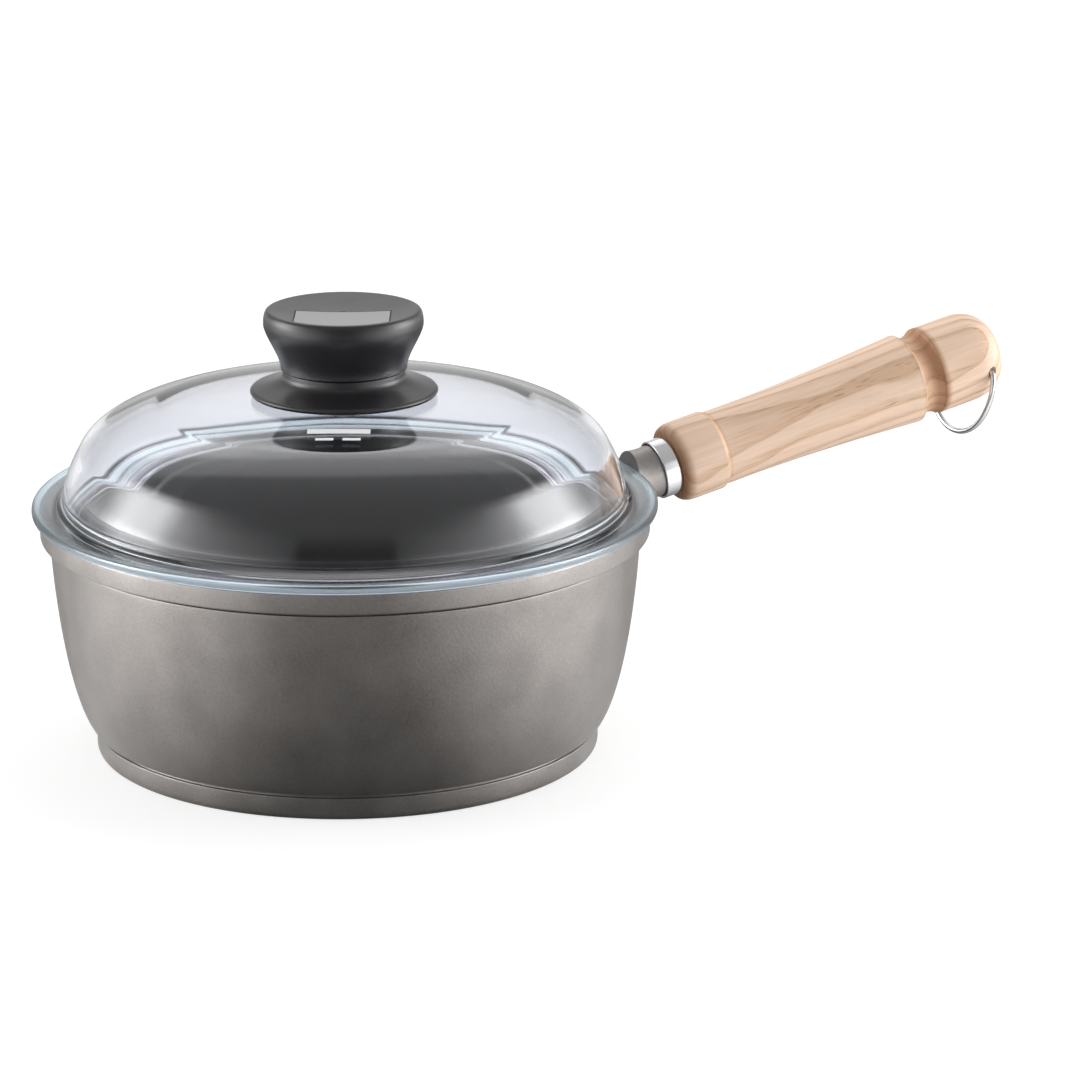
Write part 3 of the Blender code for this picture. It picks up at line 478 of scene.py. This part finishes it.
# ---------------------------------------------------------------- stud, insert and spring washer
# A zinc-plated stud joins the stub to a brass insert in the wood, with a split spring washer
# squeezed between the stub's end and the wood so that the handle can't work loose.
plated = new_finish("plain_steel", (0.55, 0.55, 0.56), 0.34, 1.0, contrast=0.12)
brass = new_finish("turned_brass", (0.62, 0.46, 0.20), 0.33, 1.0, contrast=0.12)
spring_steel = new_finish("spring_steel", (0.26, 0.26, 0.27), 0.42, 0.9, contrast=0.15)


def refinish(finish, *nodes):
    """Gives frame nodes that keep their own mesh this finish."""
    for node in nodes:
        mesh = frame["nodes"][node].data
        mesh.materials.clear()
        mesh.materials.append(finish)


refinish(plated, "handle_stud")
refinish(brass, "handle_insert", "knob_insert")
refinish(spring_steel, "handle_washer")


# ---------------------------------------------------------------- ferrule
# A drawn stainless steel sleeve, polished, pushed over the wood's tenon so that it can't split.
HANDLE_POSE = (Matrix.Translation((MOUTH_RADIUS * MM, 0, (RIM_HEIGHT - HANDLE_DROP) * MM))
               @ Matrix.Rotation(math.pi / 2 - HANDLE_TILT, 4, "Y"))
FERRULE_START = 18.2
FERRULE_END = 24.1
FERRULE_INSIDE = 9.8
FERRULE_OUTSIDE = 10.55
polished = new_finish("polished_steel", (0.78, 0.78, 0.79), 0.14, 1.0, contrast=0.05, grain=500.0,
                      unevenness=0.06, relief=0.004)
sleeve = outline((FERRULE_OUTSIDE, FERRULE_END, 0.15), (FERRULE_OUTSIDE, FERRULE_START, 0.35),
                 (FERRULE_INSIDE, FERRULE_START, 0.15), (FERRULE_INSIDE, FERRULE_END, 0.1))
ferrule = make_piece("ferrule_sleeve", *turned(sleeve, 128), polished, pose=HANDLE_POSE)
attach(ferrule, "pan")
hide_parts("ferrule")


# ---------------------------------------------------------------- wooden handle
# Turned from a blank of ash: collar, tapered grip, cove and round-ended cap, sanded and oiled.
# A cross hole near the end takes the hanging ring.
COLLAR_START = 24.4
COLLAR_END = 42.0
COLLAR_RADIUS = 14.3
WAIST_RADIUS = 13.45
GRIP_RADIUS = 16.35
GROOVE_START = 121.0
GROOVE_DEPTH = 2.6
CAP_START = 129.2
CAP_RADIUS = 16.0
CAP_ROUND = 12.0
CAP_FLAT_RADIUS = 8.0
HANDLE_END = 156.0
HOLE_RADIUS = 1.85
TENON_RADIUS = 9.5
TENON_START = 21.4
WOOD_BORE = 3.3
WOOD_BORE_END = 52.0
# Tints that multiply the wood's colour. The browner ones are painted shade in the hollows and at the
# steps, along with end grain that takes up more oil.
UNDARKENED = (1.0, 1.0, 1.0, 1)
HALF_OILED_AND_SHADED = (0.78, 0.66, 0.55, 1)
OILED_AND_SHADED = (0.50, 0.34, 0.22, 1)

grip_run = GROOVE_START - COLLAR_END
groove_floor = GRIP_RADIUS - GROOVE_DEPTH
end_arc = np.linspace(math.pi / 2, 0.0, 25)
cap_end = np.column_stack([
    CAP_FLAT_RADIUS + (CAP_RADIUS - CAP_FLAT_RADIUS) * np.cos(end_arc),
    HANDLE_END - CAP_ROUND + CAP_ROUND * np.sin(end_arc), 0 * end_arc])
grip_profile = outline(
    (0, HANDLE_END, 0), cap_end, (CAP_RADIUS, CAP_START, 0.7),
    bend((CAP_RADIUS - 0.5, CAP_START - 0.2), (groove_floor, CAP_START - 3.2),
         (groove_floor, GROOVE_START + 1.2), (GRIP_RADIUS - 0.9, GROOVE_START + 0.1), 18),
    (GRIP_RADIUS, GROOVE_START, 0.5),
    bend((GRIP_RADIUS - 0.02, GROOVE_START - 0.9),
         (0.6 * WAIST_RADIUS + 0.4 * GRIP_RADIUS, COLLAR_END + 0.67 * grip_run),
         (WAIST_RADIUS - 0.25, COLLAR_END + 0.36 * grip_run), (WAIST_RADIUS, COLLAR_END + 2), 40),
    (WAIST_RADIUS, COLLAR_END - 0.1, 0.5), (COLLAR_RADIUS, COLLAR_END - 1.1, 0.8),
    bend((COLLAR_RADIUS, COLLAR_START + 5), (COLLAR_RADIUS, COLLAR_START + 2),
         (COLLAR_RADIUS - 0.9, COLLAR_START), (COLLAR_RADIUS - 2.6, COLLAR_START), 12),
    (TENON_RADIUS, COLLAR_START, 0.2), (TENON_RADIUS, TENON_START, 0.3),
    (WOOD_BORE, TENON_START, 0), (WOOD_BORE, WOOD_BORE_END, 0), (0, WOOD_BORE_END, 0))


def ash_finish():
    """Ring-porous wood: growth rings are cylinders round the tree's heart, far behind the blank and
    not quite along it, so they run as lines on the sides and as arches on the face. Each ring starts
    with a band of dark open pores and pales towards the next. At the collar's nose, at the collar's
    step and in the cove the wood is browner: painted shade in these hollows and steps, along with end
    grain that drinks more oil where the turning cuts across the fibres."""
    heart = Vector((0.019, 0.044, 0.0))
    heart_lean = (math.radians(3.4), math.radians(-0.8), 0.0)
    ring_width = 0.0036
    pale, tan, pore = (0.700, 0.510, 0.385, 1), (0.555, 0.365, 0.240, 1), (0.36, 0.20, 0.105, 1)
    finish = bpy.data.materials.new("ash_wood")
    finish.use_nodes = True
    tree = finish.node_tree
    shader = tree.nodes["Principled BSDF"]
    spot = add_node(tree, "ShaderNodeTexCoord")
    lay = add_node(tree, "ShaderNodeMapping", {
        "Vector": spot.outputs["Object"], "Location": HANDLE_POSE.to_translation(),
        "Rotation": HANDLE_POSE.to_euler()}, vector_type="TEXTURE")
    wander = add_node(tree, "ShaderNodeTexNoise", {
        "Vector": add_node(tree, "ShaderNodeVectorMath", {0: lay.outputs[0], 1: (1, 1, 0.22)},
                           operation="MULTIPLY").outputs[0], "Scale": 46.0, "Detail": 3.0})
    sway = add_node(tree, "ShaderNodeVectorMath", {0: wander.outputs["Color"], 1: (0.5, 0.5, 0.5)},
                    operation="SUBTRACT")
    swayed = add_node(tree, "ShaderNodeVectorMath", {0: sway.outputs[0], 1: (0.009, 0.009, 0.0),
                                                     2: lay.outputs[0]}, operation="MULTIPLY_ADD")
    tree_axis = add_node(tree, "ShaderNodeMapping", {
        "Vector": swayed.outputs[0], "Location": heart, "Rotation": heart_lean},
        vector_type="TEXTURE")
    flat = add_node(tree, "ShaderNodeVectorMath", {0: tree_axis.outputs[0], 1: (1, 1, 0)},
                    operation="MULTIPLY")
    depth = add_node(tree, "ShaderNodeVectorMath", {0: flat.outputs[0]}, operation="LENGTH")
    rings = add_node(tree, "ShaderNodeMath", {0: depth.outputs["Value"], 1: ring_width},
                     operation="DIVIDE")
    season = add_node(tree, "ShaderNodeMath", {0: rings.outputs[0]}, operation="FRACT")
    band = add_node(tree, "ShaderNodeValToRGB", {"Fac": season.outputs[0]})
    stops = band.color_ramp.elements
    stops[0].position, stops[0].color = 0.0, tan
    stops[1].position, stops[1].color = 1.0, tan
    for position, color in ((0.14, (0.60, 0.41, 0.28, 1)), (0.45, pale), (0.93, (0.70, 0.51, 0.38, 1))):
        stops.new(position).color = color
    grain = add_node(tree, "ShaderNodeVectorMath", {0: lay.outputs[0], 1: (1, 1, 0.028)},
                     operation="MULTIPLY")
    pores = add_node(tree, "ShaderNodeTexNoise", {"Vector": grain.outputs[0], "Scale": 2300.0,
                                                  "Detail": 1.0})
    open_pores = add_node(tree, "ShaderNodeMapRange", {"Value": pores.outputs[0], "From Min": 0.60,
                                                       "From Max": 0.70})
    early = add_node(tree, "ShaderNodeMapRange", {"Value": season.outputs[0], "From Min": 0.0,
                                                  "From Max": 0.40, "To Min": 1.0, "To Max": 0.12})
    pore_mask = add_node(tree, "ShaderNodeMath", {0: open_pores.outputs[0], 1: early.outputs[0]},
                         operation="MULTIPLY")
    fibres = add_node(tree, "ShaderNodeTexNoise", {"Vector": grain.outputs[0], "Scale": 800.0,
                                                   "Detail": 4.0})
    streaks = add_node(tree, "ShaderNodeMapRange", {"Value": fibres.outputs[0], "From Min": 0.3,
                                                    "From Max": 0.7, "To Min": 0.93, "To Max": 1.06})
    toned = add_node(tree, "ShaderNodeVectorMath", {0: band.outputs[0], "Scale": streaks.outputs[0]},
                     operation="SCALE")
    mixed = add_node(tree, "ShaderNodeMix", data_type="RGBA")
    color_inputs = [socket for socket in mixed.inputs if socket.type == "RGBA"]
    tree.links.new(pore_mask.outputs[0], mixed.inputs[0])
    tree.links.new(toned.outputs[0], color_inputs[0])
    color_inputs[1].default_value = pore
    mixed_color = [socket for socket in mixed.outputs if socket.type == "RGBA"][0]
    along = add_node(tree, "ShaderNodeSeparateXYZ", {0: lay.outputs[0]})
    share = add_node(tree, "ShaderNodeMath", {0: along.outputs["Z"], 1: HANDLE_END * MM},
                     operation="DIVIDE")
    # Painted shade: browner bands at the collar's nose, the collar's step and the cove, with end grain
    # that drinks more oil.
    oil_and_shade = add_node(tree, "ShaderNodeValToRGB", {"Fac": share.outputs[0]})
    stops = oil_and_shade.color_ramp.elements
    stops[0].position, stops[0].color = (COLLAR_START + 0.3) / HANDLE_END, OILED_AND_SHADED
    stops[1].position, stops[1].color = 1.0, UNDARKENED
    for run, color in ((COLLAR_START + 3.6, UNDARKENED), (COLLAR_END - 1.9, UNDARKENED),
                       (COLLAR_END - 0.5, HALF_OILED_AND_SHADED), (COLLAR_END + 1.2, UNDARKENED),
                       (GROOVE_START - 1.2, UNDARKENED), (GROOVE_START - 0.1, HALF_OILED_AND_SHADED),
                       (GROOVE_START + 3.0, HALF_OILED_AND_SHADED), (CAP_START - 2.2, OILED_AND_SHADED),
                       (CAP_START + 0.4, OILED_AND_SHADED), (CAP_START + 2.6, UNDARKENED)):
        stops.new(run / HANDLE_END).color = color
    tinted = add_node(tree, "ShaderNodeVectorMath", {0: mixed_color, 1: oil_and_shade.outputs[0]},
                      operation="MULTIPLY")
    tree.links.new(tinted.outputs[0], shader.inputs["Base Color"])
    rough = add_node(tree, "ShaderNodeMapRange", {"Value": fibres.outputs[0], "To Min": 0.40,
                                                  "To Max": 0.54})
    tree.links.new(rough.outputs[0], shader.inputs["Roughness"])
    sunk = add_node(tree, "ShaderNodeMath", {0: fibres.outputs[0], 1: pore_mask.outputs[0]},
                    operation="SUBTRACT")
    bump = add_node(tree, "ShaderNodeBump", {"Height": sunk.outputs[0], "Distance": 0.00003})
    tree.links.new(bump.outputs[0], shader.inputs["Normal"])
    return finish


ash = ash_finish()
grip = make_piece("ash_handle", *turned(grip_profile, 160), ash, pose=HANDLE_POSE, crease=50)

ring_joint = next(joint for joint in frame["joints"] if joint["name"] == "ring_swing")
hole_place = Vector(ring_joint["pos_m"])
hole_axis = Vector(ring_joint["axis"]).normalized()
handle_axis = Vector((math.cos(HANDLE_TILT), 0, math.sin(HANDLE_TILT)))
hole_down = hole_axis.cross(handle_axis).normalized()
hole_down = hole_down if hole_down.z < 0 else -hole_down
HOLE_POSE = Matrix((hole_down, hole_axis.cross(hole_down), hole_axis)).transposed().to_4x4()
HOLE_POSE.translation = hole_place
hole_cutter = make_piece("ring_hole_cutter", *turned(outline(
    (0, 24, 0), (HOLE_RADIUS, 24, 0), (HOLE_RADIUS, -24, 0), (0, -24, 0)), 40), ash, pose=HOLE_POSE)


def cut(piece, cutter):
    """Cuts one closed mesh out of another for good, and takes the cutter away."""
    step = piece.modifiers.new("cut", "BOOLEAN")
    step.operation, step.solver, step.object = "DIFFERENCE", "EXACT", cutter
    bpy.context.view_layer.update()
    solved = piece.evaluated_get(bpy.context.evaluated_depsgraph_get())
    result = bpy.data.meshes.new_from_object(solved)
    piece.modifiers.clear()
    piece.data = result
    bpy.data.objects.remove(cutter)


cut(grip, hole_cutter)
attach(grip, "pan")
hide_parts("handle_grip")


# ---------------------------------------------------------------- hanging ring
# Spring steel wire bent to a loop. Its two short ends are sprung into the cross hole and turn there.
WIRE_RADIUS = 1.0
RING_DROP = 10.0
RING_REST = math.radians(22.5)
RING_OPENING = 0.10
PIN_LENGTH = 8.4
MOUTH_HALF = 16.0


def wire_loop(sides=20, count=180):
    """A tube round a flat path: hole mouth, three quarters of a circle below the hole, other mouth.
    Each point is path + w cos b side + w sin b (path's direction x side), w the wire's radius."""
    radius = math.hypot(MOUTH_HALF, RING_DROP)
    opening = math.pi - math.atan2(MOUTH_HALF, RING_DROP) - RING_OPENING
    turn = np.linspace(opening, -opening, count)
    loop = np.column_stack([RING_DROP + radius * np.cos(turn), radius * np.sin(turn)])
    pin_end = 0.97 * MOUTH_HALF
    pin = np.linspace(pin_end - PIN_LENGTH, pin_end, 12)
    path = np.vstack([np.column_stack([0 * pin, pin]), loop, np.column_stack([0 * pin, -pin[::-1]])])
    smooth = path.copy()
    for _ in range(6):
        smooth[1:-1] = 0.25 * smooth[:-2] + 0.5 * smooth[1:-1] + 0.25 * smooth[2:]
    heading = np.gradient(smooth, axis=0)
    heading /= np.linalg.norm(heading, axis=1, keepdims=True)
    across = np.column_stack([-heading[:, 1], heading[:, 0]])
    around = np.arange(sides) * 2 * math.pi / sides
    flat = smooth[:, None, :] + WIRE_RADIUS * np.sin(around)[None, :, None] * across[:, None, :]
    side = np.tile(WIRE_RADIUS * np.cos(around), (len(path), 1))
    points = np.stack([flat[..., 0], side, flat[..., 1]], axis=2)
    end_caps = [smooth[0] - heading[0] * 0.35, smooth[-1] + heading[-1] * 0.35]
    rows = len(path)
    here = np.arange(rows * sides).reshape(rows, sides)
    beside = np.roll(here, -1, axis=1)
    faces = np.stack([here[:-1], here[1:], beside[1:], beside[:-1]], axis=2).reshape(-1, 4).tolist()
    points = np.vstack([points.reshape(-1, 3), [[p[0], 0, p[1]] for p in end_caps]])
    first, last = rows * sides, rows * sides + 1
    faces += np.column_stack([np.full(sides, first), here[0], beside[0]]).tolist()
    faces += np.column_stack([here[-1], np.full(sides, last), beside[-1]]).tolist()
    return points, [face[::-1] for face in faces]


wire_steel = new_finish("wire_steel", (0.60, 0.60, 0.61), 0.22, 1.0, contrast=0.06, grain=700.0,
                        relief=0.006)
hang = hole_down * math.cos(RING_REST) - handle_axis * math.sin(RING_REST)
RING_POSE = Matrix((hang, hole_axis.cross(hang), hole_axis)).transposed().to_4x4()
RING_POSE.translation = hole_place
ring = make_piece("wire_ring", *wire_loop(), wire_steel, pose=RING_POSE, crease=60)
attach(ring, "ring")
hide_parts("hanging_ring")


# ---------------------------------------------------------------- glass lid
# Pressed borosilicate glass, thickest at the shoulder: a dome, a flat flange that rests on the rim,
# its edge ground, and a short skirt that keeps it centred. A hole in its middle takes the screw.
LID_RADIUS = 107.2
FLANGE_THICKNESS = 3.3
DOME_SHIFT = 3.3
DOME_RADIUS = 96.2
DOME_FILLET = 3.2
SHOULDER = (-5.6, 18.7)
CROWN = (-30.2, 33.0)
DOME_RISE = 36.8
SKIRT_RADIUS = 98.4
GLASS_HOLE_RADIUS = 4.0
LID_POSE = Matrix.Rotation(math.radians(-24.7), 4, "Z")

flange_bottom = RIM_HEIGHT + LID_CLEARANCE
flange_top = flange_bottom + FLANGE_THICKNESS
dome_top = flange_top + DOME_RISE


def dome_curve():
    """The dome's outside from its foot to the screw hole, as three cubic curves that run on
    smoothly: a steep side, the shoulder and the flat crown."""
    foot = np.array((DOME_RADIUS, flange_top + DOME_FILLET))
    shoulder = np.array((DOME_RADIUS + SHOULDER[0], flange_top + SHOULDER[1]))
    crown = np.array((DOME_RADIUS + CROWN[0], flange_top + CROWN[1]))
    lean, slope = np.array((-0.46, 0.887)), np.array((-0.968, 0.25))
    reach = -CROWN[0]
    return np.vstack([
        bend(foot, foot + (0, 5), shoulder - 5 * lean, shoulder, 14),
        bend(shoulder, shoulder + 0.30 * reach * lean, crown - 0.33 * reach * slope, crown, 30)[1:],
        bend(crown, crown + 10 * slope, (0.45 * crown[0], dome_top), (GLASS_HOLE_RADIUS, dome_top),
             36)[1:]])


# The inside is the outside moved in and down, so that a slanting line of sight crosses two
# parallel surfaces and what lies behind isn't bent.
outside = dome_curve()
inner_dome = outside - (DOME_SHIFT, DOME_SHIFT, 0)
inner_dome[-1, 0] = GLASS_HOLE_RADIUS
inner_dome = inner_dome[inner_dome[:, 0] >= GLASS_HOLE_RADIUS - 1e-6]
fillet_turn = np.radians(np.linspace(180, 270, 10))[1:]
fillet = np.column_stack([DOME_RADIUS + DOME_FILLET + DOME_FILLET * np.cos(fillet_turn),
                          flange_top + DOME_FILLET + DOME_FILLET * np.sin(fillet_turn),
                          0 * fillet_turn])
lid_profile = outline(
    outside[::-1], fillet, (LID_RADIUS, flange_top, 1.5), (LID_RADIUS, flange_bottom, 1.5),
    (SKIRT_RADIUS, flange_bottom, 0.3), (SKIRT_RADIUS - 0.3, flange_bottom - SKIRT_DEPTH, 0.8),
    (inner_dome[0, 0], flange_bottom - SKIRT_DEPTH, 0.9), inner_dome)


def glass_finish():
    """Clear glass, slightly blue and frosted along its ground edge. Light falling on the pan
    passes straight through it, so that the inside is lit."""
    finish = bpy.data.materials.new("clear_glass")
    finish.use_nodes = True
    tree = finish.node_tree
    shader = tree.nodes["Principled BSDF"]
    shader.inputs["Transmission Weight"].default_value = 1.0
    shader.inputs["IOR"].default_value = 1.49
    spot = add_node(tree, "ShaderNodeTexCoord")
    flat = add_node(tree, "ShaderNodeVectorMath", {0: spot.outputs["Object"], 1: (1, 1, 0)},
                    operation="MULTIPLY")
    from_axis = add_node(tree, "ShaderNodeVectorMath", {0: flat.outputs[0]}, operation="LENGTH")
    edge = add_node(tree, "ShaderNodeMapRange", {
        "Value": from_axis.outputs["Value"], "From Min": 0.0990, "From Max": 0.1065},
        interpolation_type="SMOOTHSTEP")
    ripple = add_node(tree, "ShaderNodeTexNoise", {"Vector": spot.outputs["Object"], "Scale": 22.0,
                                                   "Detail": 2.0})
    tint = add_node(tree, "ShaderNodeValToRGB", {"Fac": edge.outputs[0]})
    tint.color_ramp.elements[0].color = (0.912, 0.927, 0.972, 1)
    tint.color_ramp.elements[1].color = (0.66, 0.84, 0.94, 1)
    tree.links.new(tint.outputs[0], shader.inputs["Base Color"])
    smear = add_node(tree, "ShaderNodeMapRange", {"Value": ripple.outputs[0], "To Min": 0.0,
                                                  "To Max": 0.03})
    ground = add_node(tree, "ShaderNodeMath", {0: edge.outputs[0], 1: 0.30, 2: smear.outputs[0]},
                      operation="MULTIPLY_ADD")
    tree.links.new(ground.outputs[0], shader.inputs["Roughness"])
    bump = add_node(tree, "ShaderNodeBump", {"Height": ripple.outputs[0], "Distance": 0.00003})
    tree.links.new(bump.outputs[0], shader.inputs["Normal"])
    clear = add_node(tree, "ShaderNodeBsdfTransparent", {"Color": (0.93, 0.95, 0.96, 1)})
    path = add_node(tree, "ShaderNodeLightPath")
    mix = add_node(tree, "ShaderNodeMixShader", {0: path.outputs["Is Shadow Ray"],
                                                 1: shader.outputs[0], 2: clear.outputs[0]})
    tree.links.new(mix.outputs[0], tree.nodes["Material Output"].inputs["Surface"])
    return finish


glass = glass_finish()
lid = make_piece("glass_dome", *turned(lid_profile, 288), glass, pose=LID_POSE, crease=60)
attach(lid, "lid")
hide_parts("lid_glass")


# ---------------------------------------------------------------- printed mark
# White enamel fired onto the glass in front of the knob: one bar and two dashes, no lettering.
# It is a film a tenth of a millimetre thick that follows the dome.
PRINT_BAR = ((-10.5, 10.5), (44.0, 48.5))
PRINT_DASHES = (((-7.5, -1.5), (53.0, 55.0)), ((1.5, 7.5), (53.0, 55.0)))
PRINT_LIFT = 0.03
PRINT_THICKNESS = 0.10
outer_curve = outside[np.argsort(outside[:, 0])]


def film(across, along, steps=16):
    """A patch of film on the dome. Its corners are given in mm across and in front of the knob, its
    height is that of the dome's outer curve at each point's radius, and it has a top, a bottom
    and four sides."""
    side, front = np.meshgrid(np.linspace(*across, steps + 1), np.linspace(*along, steps + 1))
    height = np.interp(np.hypot(side, front), outer_curve[:, 0], outer_curve[:, 1]) + PRINT_LIFT
    bottom = np.stack([side, -front, height], axis=-1).reshape(-1, 3)
    row = steps + 1
    corner = (np.arange(steps)[:, None] * row + np.arange(steps)).ravel()
    squares = np.column_stack([corner, corner + row, corner + row + 1, corner + 1])
    edge = np.concatenate([np.arange(steps), np.arange(steps) * row + steps,
                           row * row - 1 - np.arange(steps), row * steps - np.arange(steps) * row])
    following = np.roll(edge, -1)
    walls = np.column_stack([edge, edge + row * row, following + row * row, following])
    points = np.concatenate([bottom, bottom + (0, 0, PRINT_THICKNESS)])
    return points, np.concatenate([squares[:, ::-1], squares + row * row, walls])


enamel = new_finish("white_enamel", (0.80, 0.81, 0.82), 0.35, 0.0, contrast=0.05, grain=900.0,
                    unevenness=0.05, relief=0.01)
print_points, print_faces = np.zeros((0, 3)), np.zeros((0, 4), dtype=int)
for across, along in (PRINT_BAR, *PRINT_DASHES):
    patch_points, patch_faces = film(across, along)
    print_faces = np.concatenate([print_faces, patch_faces + len(print_points)])
    print_points = np.concatenate([print_points, patch_points])
mark = make_piece("printed_mark", print_points, print_faces, enamel, pose=LID_POSE, crease=40)
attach(mark, "lid")


# ---------------------------------------------------------------- knob, base and badge
# Both are moulded in black phenolic and hold the glass between them and the screw's washers.
# A thin satin plate, left blank, is let into the front half of the knob's dished top.
KNOB_RADIUS = 27.3
KNOB_TOP_RADIUS = 25.4
KNOB_NECK_RADIUS = 21.6
KNOB_DISH = 1.2
KNOB_BORE = 4.8
KNOB_BORE_DEPTH = 12.6
BASE_RADIUS = 32.2
BASE_NECK_RADIUS = 20.9
SCREW_BORE = 2.35
GASKET_RECESS_RADIUS = 12.6
GASKET_RECESS_DEPTH = 1.3
BADGE_HALF_WIDTH = 16.0
BADGE_RADIUS = 24.2
BADGE_THICKNESS = 0.9
BADGE_CLEARANCE = 0.3

knob_low, knob_high = (corner.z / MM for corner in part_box("knob"))
base_low, base_high = (corner.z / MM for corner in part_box("knob_base"))
knob_height = knob_high - knob_low
widest = knob_low + 0.75 * knob_height


def dish_height(radius):
    """The dished top: lowest in the middle and rising with the square of the radius to its edge."""
    return knob_high - KNOB_DISH * (1 - (radius / KNOB_TOP_RADIUS) ** 2)


dish_radius = np.linspace(0, KNOB_TOP_RADIUS, 22)
dish = np.column_stack([dish_radius, dish_height(dish_radius), 0 * dish_radius])
knob_profile = outline(
    dish, bend((KNOB_TOP_RADIUS, knob_high), (KNOB_RADIUS - 0.5, knob_high),
               (KNOB_RADIUS, knob_high - 1.9), (KNOB_RADIUS, widest), 14),
    bend((KNOB_RADIUS, widest), (KNOB_RADIUS - 0.5, widest - 4),
         (KNOB_NECK_RADIUS + 0.2, knob_low + 0.25 * knob_height), (KNOB_NECK_RADIUS, knob_low + 0.6), 24),
    (KNOB_NECK_RADIUS, knob_low, 0.4), (KNOB_BORE, knob_low, 0),
    (KNOB_BORE, knob_low + KNOB_BORE_DEPTH, 0), (0, knob_low + KNOB_BORE_DEPTH, 0))
base_profile = outline(
    (SCREW_BORE, base_high, 0), (BASE_NECK_RADIUS, base_high, 0.4),
    bend((BASE_NECK_RADIUS, base_high - 1.5), (BASE_NECK_RADIUS, base_high - 4.2),
         (BASE_RADIUS - 6, base_low + 3.0), (BASE_RADIUS - 0.6, base_low + 1.9), 18),
    (BASE_RADIUS, base_low + 1.1, 0.4), (BASE_RADIUS - 0.6, base_low, 0.5),
    (GASKET_RECESS_RADIUS, base_low, 0.2), (GASKET_RECESS_RADIUS, base_low + GASKET_RECESS_DEPTH, 0),
    (SCREW_BORE, base_low + GASKET_RECESS_DEPTH, 0))


def half_moon(radius, half_width, back, top, bottom, columns=60, rows=24):
    """A plate in front of the line y = back: x runs across it and y from that line out to the
    circle of the given radius. Its top follows the height function given and its bottom is flat."""
    u, v = np.meshgrid(np.linspace(-1, 1, columns), np.linspace(0, 1, rows))
    x = half_width * u
    y = back + v * (-np.sqrt(radius ** 2 - x ** 2) - back)
    upper = np.stack([x, y, top(np.hypot(x, y))], axis=2)
    lower = np.stack([x, y, np.full_like(x, bottom)], axis=2)
    points = np.concatenate([upper.reshape(-1, 3), lower.reshape(-1, 3)])
    here = np.arange(columns * rows).reshape(rows, columns)
    under = here + columns * rows
    cells = [here[:-1, :-1], here[1:, :-1], here[1:, 1:], here[:-1, 1:]]
    faces = np.stack(cells, axis=2).reshape(-1, 4).tolist()
    faces += np.stack([cell + columns * rows for cell in cells[::-1]], axis=2).reshape(-1, 4).tolist()
    for edge, low in ((here[0], under[0]), (here[:, -1], under[:, -1]),
                      (here[-1, ::-1], under[-1, ::-1]), (here[::-1, 0], under[::-1, 0])):
        faces += np.column_stack([edge[:-1], edge[1:], low[1:], low[:-1]]).tolist()
    return points, faces


phenolic = new_finish("black_phenolic", (0.0150, 0.0145, 0.0165), 0.33, contrast=0.12, grain=1600.0,
                      patches=80.0, unevenness=0.10, relief=0.015)
badge_floor = knob_high - KNOB_DISH - BADGE_THICKNESS
knob = make_piece("moulded_knob", *turned(knob_profile, 160), phenolic, pose=LID_POSE, crease=50)
pocket = make_piece("badge_pocket", *half_moon(
    BADGE_RADIUS + BADGE_CLEARANCE, BADGE_HALF_WIDTH + BADGE_CLEARANCE, BADGE_CLEARANCE,
    lambda radius: knob_high + 2 + 0 * radius, badge_floor - BADGE_CLEARANCE), phenolic, pose=LID_POSE)
cut(knob, pocket)
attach(knob, "lid")
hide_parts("knob")

knob_base = make_piece("moulded_knob_base", *turned(base_profile, 160), phenolic, pose=LID_POSE,
                       crease=50)
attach(knob_base, "lid")
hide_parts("knob_base")

badge_satin = new_finish("badge_satin", (0.36, 0.36, 0.37), 0.38, 0.85, contrast=0.10, grain=1200.0,
                         relief=0.006)
badge = make_piece("blank_badge", *half_moon(BADGE_RADIUS, BADGE_HALF_WIDTH, 0.0, dish_height,
                                             badge_floor), badge_satin, pose=LID_POSE)
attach(badge, "lid")
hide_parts("knob_badge")


# ---------------------------------------------------------------- screw, washers and gaskets
# A slotted steel screw comes up from inside the lid through a split washer, a flat washer and two
# silicone gaskets, so that metal never bears on the glass.
silicone = new_finish("silicone", (0.055, 0.055, 0.055), 0.62, contrast=0.10, relief=0.01)
refinish(silicone, "gasket_upper", "gasket_lower")
refinish(plated, "screw_washer", "knob_screw", "spring_washer")
